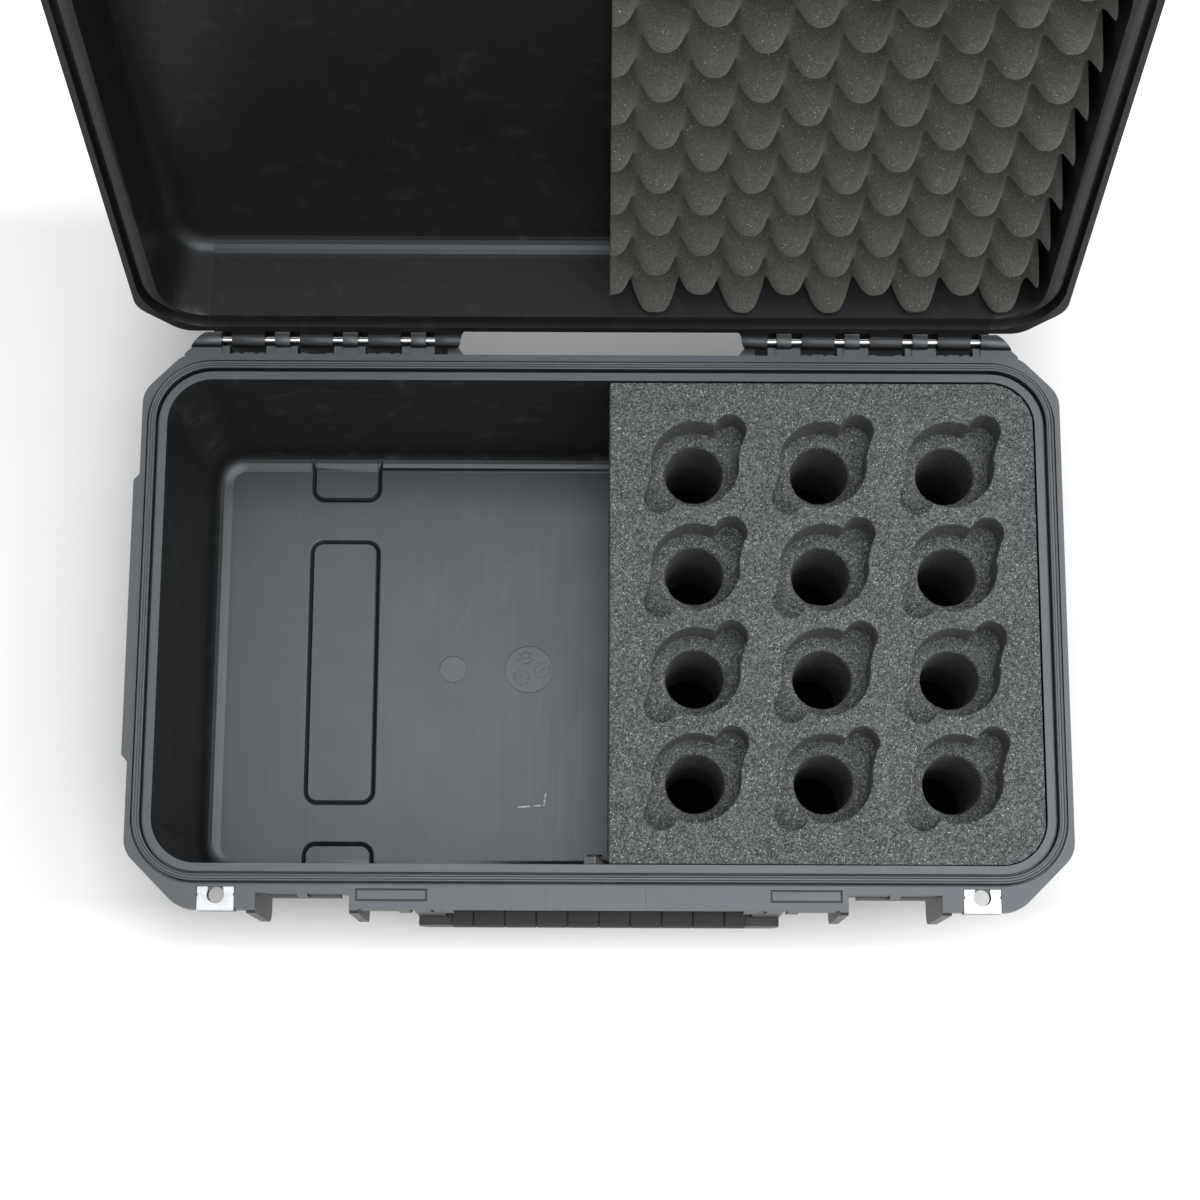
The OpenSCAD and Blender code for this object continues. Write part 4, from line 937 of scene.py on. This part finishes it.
@dataclass
class Studio:
    """Camera, lamps and floor."""

    camera_at: tuple[float, float, float] = (0.00117, -0.28963, 1.47055)
    camera_turn: tuple[float, float, float] = (math.radians(11.073), 0.0, math.radians(0.241))
    lens_mm: float = 69.0
    sensor_mm: float = 36.0
    shift_y: float = 0.05625
    clip_end: float = 50.0
    softbox_at: tuple[float, float, float] = (0.80, -0.35, 2.30)
    softbox_size: tuple[float, float] = (2.8, 2.8)
    softbox_power: float = 74.0
    # how bright the room is as a light, beside a 1 for how bright it is to look at
    fill: float = 0.28
    floor_half: float = 6.0
    floor_z: float = -0.2 * MM
    # the floor that the case covers with its lid open: its middle along Y, and its half sizes
    case_middle_y: float = 0.06
    case_half: tuple[float, float] = (0.27, 0.24)
    # painted light on the floor, seen by the camera, rising away from the case and leaving a painted
    # shadow round it: where each ramp starts, where it is full, and how much
    glow_round: tuple[float, float, float] = (0.0, 60 * MM, 0.20)
    glow_ends: tuple[float, float, float] = (0.0, 50 * MM, 0.38)
    glow_front: tuple[float, float, float] = (-0.155, -0.20, 0.45)
    glow_far: tuple[float, float, float] = (0.5, 1.6, 0.6)

    def camera(self) -> None:
        """Places the photograph's camera."""
        data = bpy.data.cameras.new("camera")
        data.lens = self.lens_mm
        data.sensor_width = self.sensor_mm
        data.shift_y = self.shift_y
        data.clip_end = self.clip_end
        camera = bpy.data.objects.new("camera", data)
        camera.location = self.camera_at
        camera.rotation_euler = self.camera_turn
        bpy.context.scene.collection.objects.link(camera)
        bpy.context.scene.camera = camera

    def lamps(self) -> None:
        """Hangs the softbox over the case and sets the fill of the room."""
        data = bpy.data.lights.new("softbox", "AREA")
        data.shape = "RECTANGLE"
        data.size, data.size_y = self.softbox_size
        data.energy = self.softbox_power
        lamp = bpy.data.objects.new("softbox", data)
        lamp.location = self.softbox_at
        lamp.visible_camera = False
        bpy.context.scene.collection.objects.link(lamp)
        world = bpy.data.worlds.new("room")
        bpy.context.scene.world = world
        world.use_nodes = True
        tree = world.node_tree
        tree.nodes.clear()
        path = add(tree, "LightPath").outputs
        rays = ("Is Camera Ray", "Is Glossy Ray", "Is Transmission Ray")
        seen = chain(tree, "MAXIMUM", *(path[ray] for ray in rays))
        strength = spread(tree, seen, 0, 1, (self.fill, 1.0))
        room = add(tree, "Background", {"Color": linear("#ffffff"), "Strength": strength})
        add(tree, "OutputWorld", {"Surface": room.outputs[0]})

    def glow(self, tree: Tree) -> Any:
        """Returns the socket of painted light on the floor, seen by the camera, that rises away from
        the case and paints its shadow.
        """
        place = add(tree, "SeparateXYZ", {0: add(tree, "TexCoord").outputs["Object"]})
        beside = combine(tree, "ABSOLUTE", place.outputs[0])
        before = combine(tree, "SUBTRACT", place.outputs[1], self.case_middle_y)
        before = combine(tree, "ABSOLUTE", before)
        aside = combine(tree, "SUBTRACT", beside, self.case_half[0])
        ahead = combine(tree, "SUBTRACT", before, self.case_half[1])
        away = combine(tree, "MAXIMUM", aside, ahead)
        ramps = (
            (away, self.glow_round),
            (ahead, self.glow_ends),
            (place.outputs[1], self.glow_front),
            (away, self.glow_far),
        )
        lights = [spread(tree, value, start, full, (0.0, most)) for value, (start, full, most) in ramps]
        camera_ray = add(tree, "LightPath").outputs["Is Camera Ray"]
        return times(tree, camera_ray, chain(tree, "ADD", *lights))

    def floor(self) -> None:
        """Lays the pale floor, which keeps the case's shadow and carries painted light that rises away
        from the case.
        """
        data = bpy.data.meshes.new("studio_floor")
        half, low = self.floor_half, self.floor_z
        corners = [(-half, -half, low), (half, -half, low), (half, half, low), (-half, half, low)]
        data.from_pydata(corners, [], [(0, 1, 2, 3)])
        floor = bpy.data.objects.new("studio_floor", data)
        bpy.context.scene.collection.objects.link(floor)
        paint = bpy.data.materials.new("studio_floor")
        paint.use_nodes = True
        tree = paint.node_tree
        tree.nodes.clear()
        matt = add(tree, "BsdfDiffuse", {"Color": linear("#f2f2f2")})
        # painted light: the floor glows for the camera away from the case, which paints the case's
        # shadow round it
        painted_floor_light = add(tree, "Emission", {"Color": linear("#ffffff"), "Strength": self.glow(tree)})
        both = add(tree, "AddShader", {0: matt.outputs[0], 1: painted_floor_light.outputs[0]})
        add(tree, "OutputMaterial", {"Surface": both.outputs[0]})
        data.materials.append(paint)

    def set_up(self) -> None:
        """Sets up the whole studio."""
        bpy.context.scene.view_settings.view_transform = "Standard"
        self.camera()
        self.lamps()
        self.floor()


def main() -> None:
    """Builds the studio and every piece."""
    logging.basicConfig(level=logging.INFO, format="%(name)s: %(message)s")
    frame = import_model()
    Studio().set_up()
    log.info("studio ready")
    Dress().apply(frame)
    log.info("carried-over pieces dressed")
    layers = (
        FoamLayer("foam_top_layer", "insert_top_layer", 1.2 * MM, 0.25 * MM, INSERT_FOAM),
        FoamLayer("foam_pocket_block", "insert_pocket_block", 2.4 * MM, 0.5 * MM, SHADED_BORED_FOAM),
        FoamLayer("foam_floor_pad", "insert_floor_pad", 3.5 * MM, 0.4 * MM, SHADED_BORED_FOAM),
    )
    for layer in layers:
        made = layer.make(frame)
        log.info("%s: %d points", made.name, len(made.data.vertices))
    foam = LidFoam.from_frame(frame).make()
    log.info("%s: %d points", foam.name, len(foam.data.vertices))


if __name__ == "__main__":
    main()
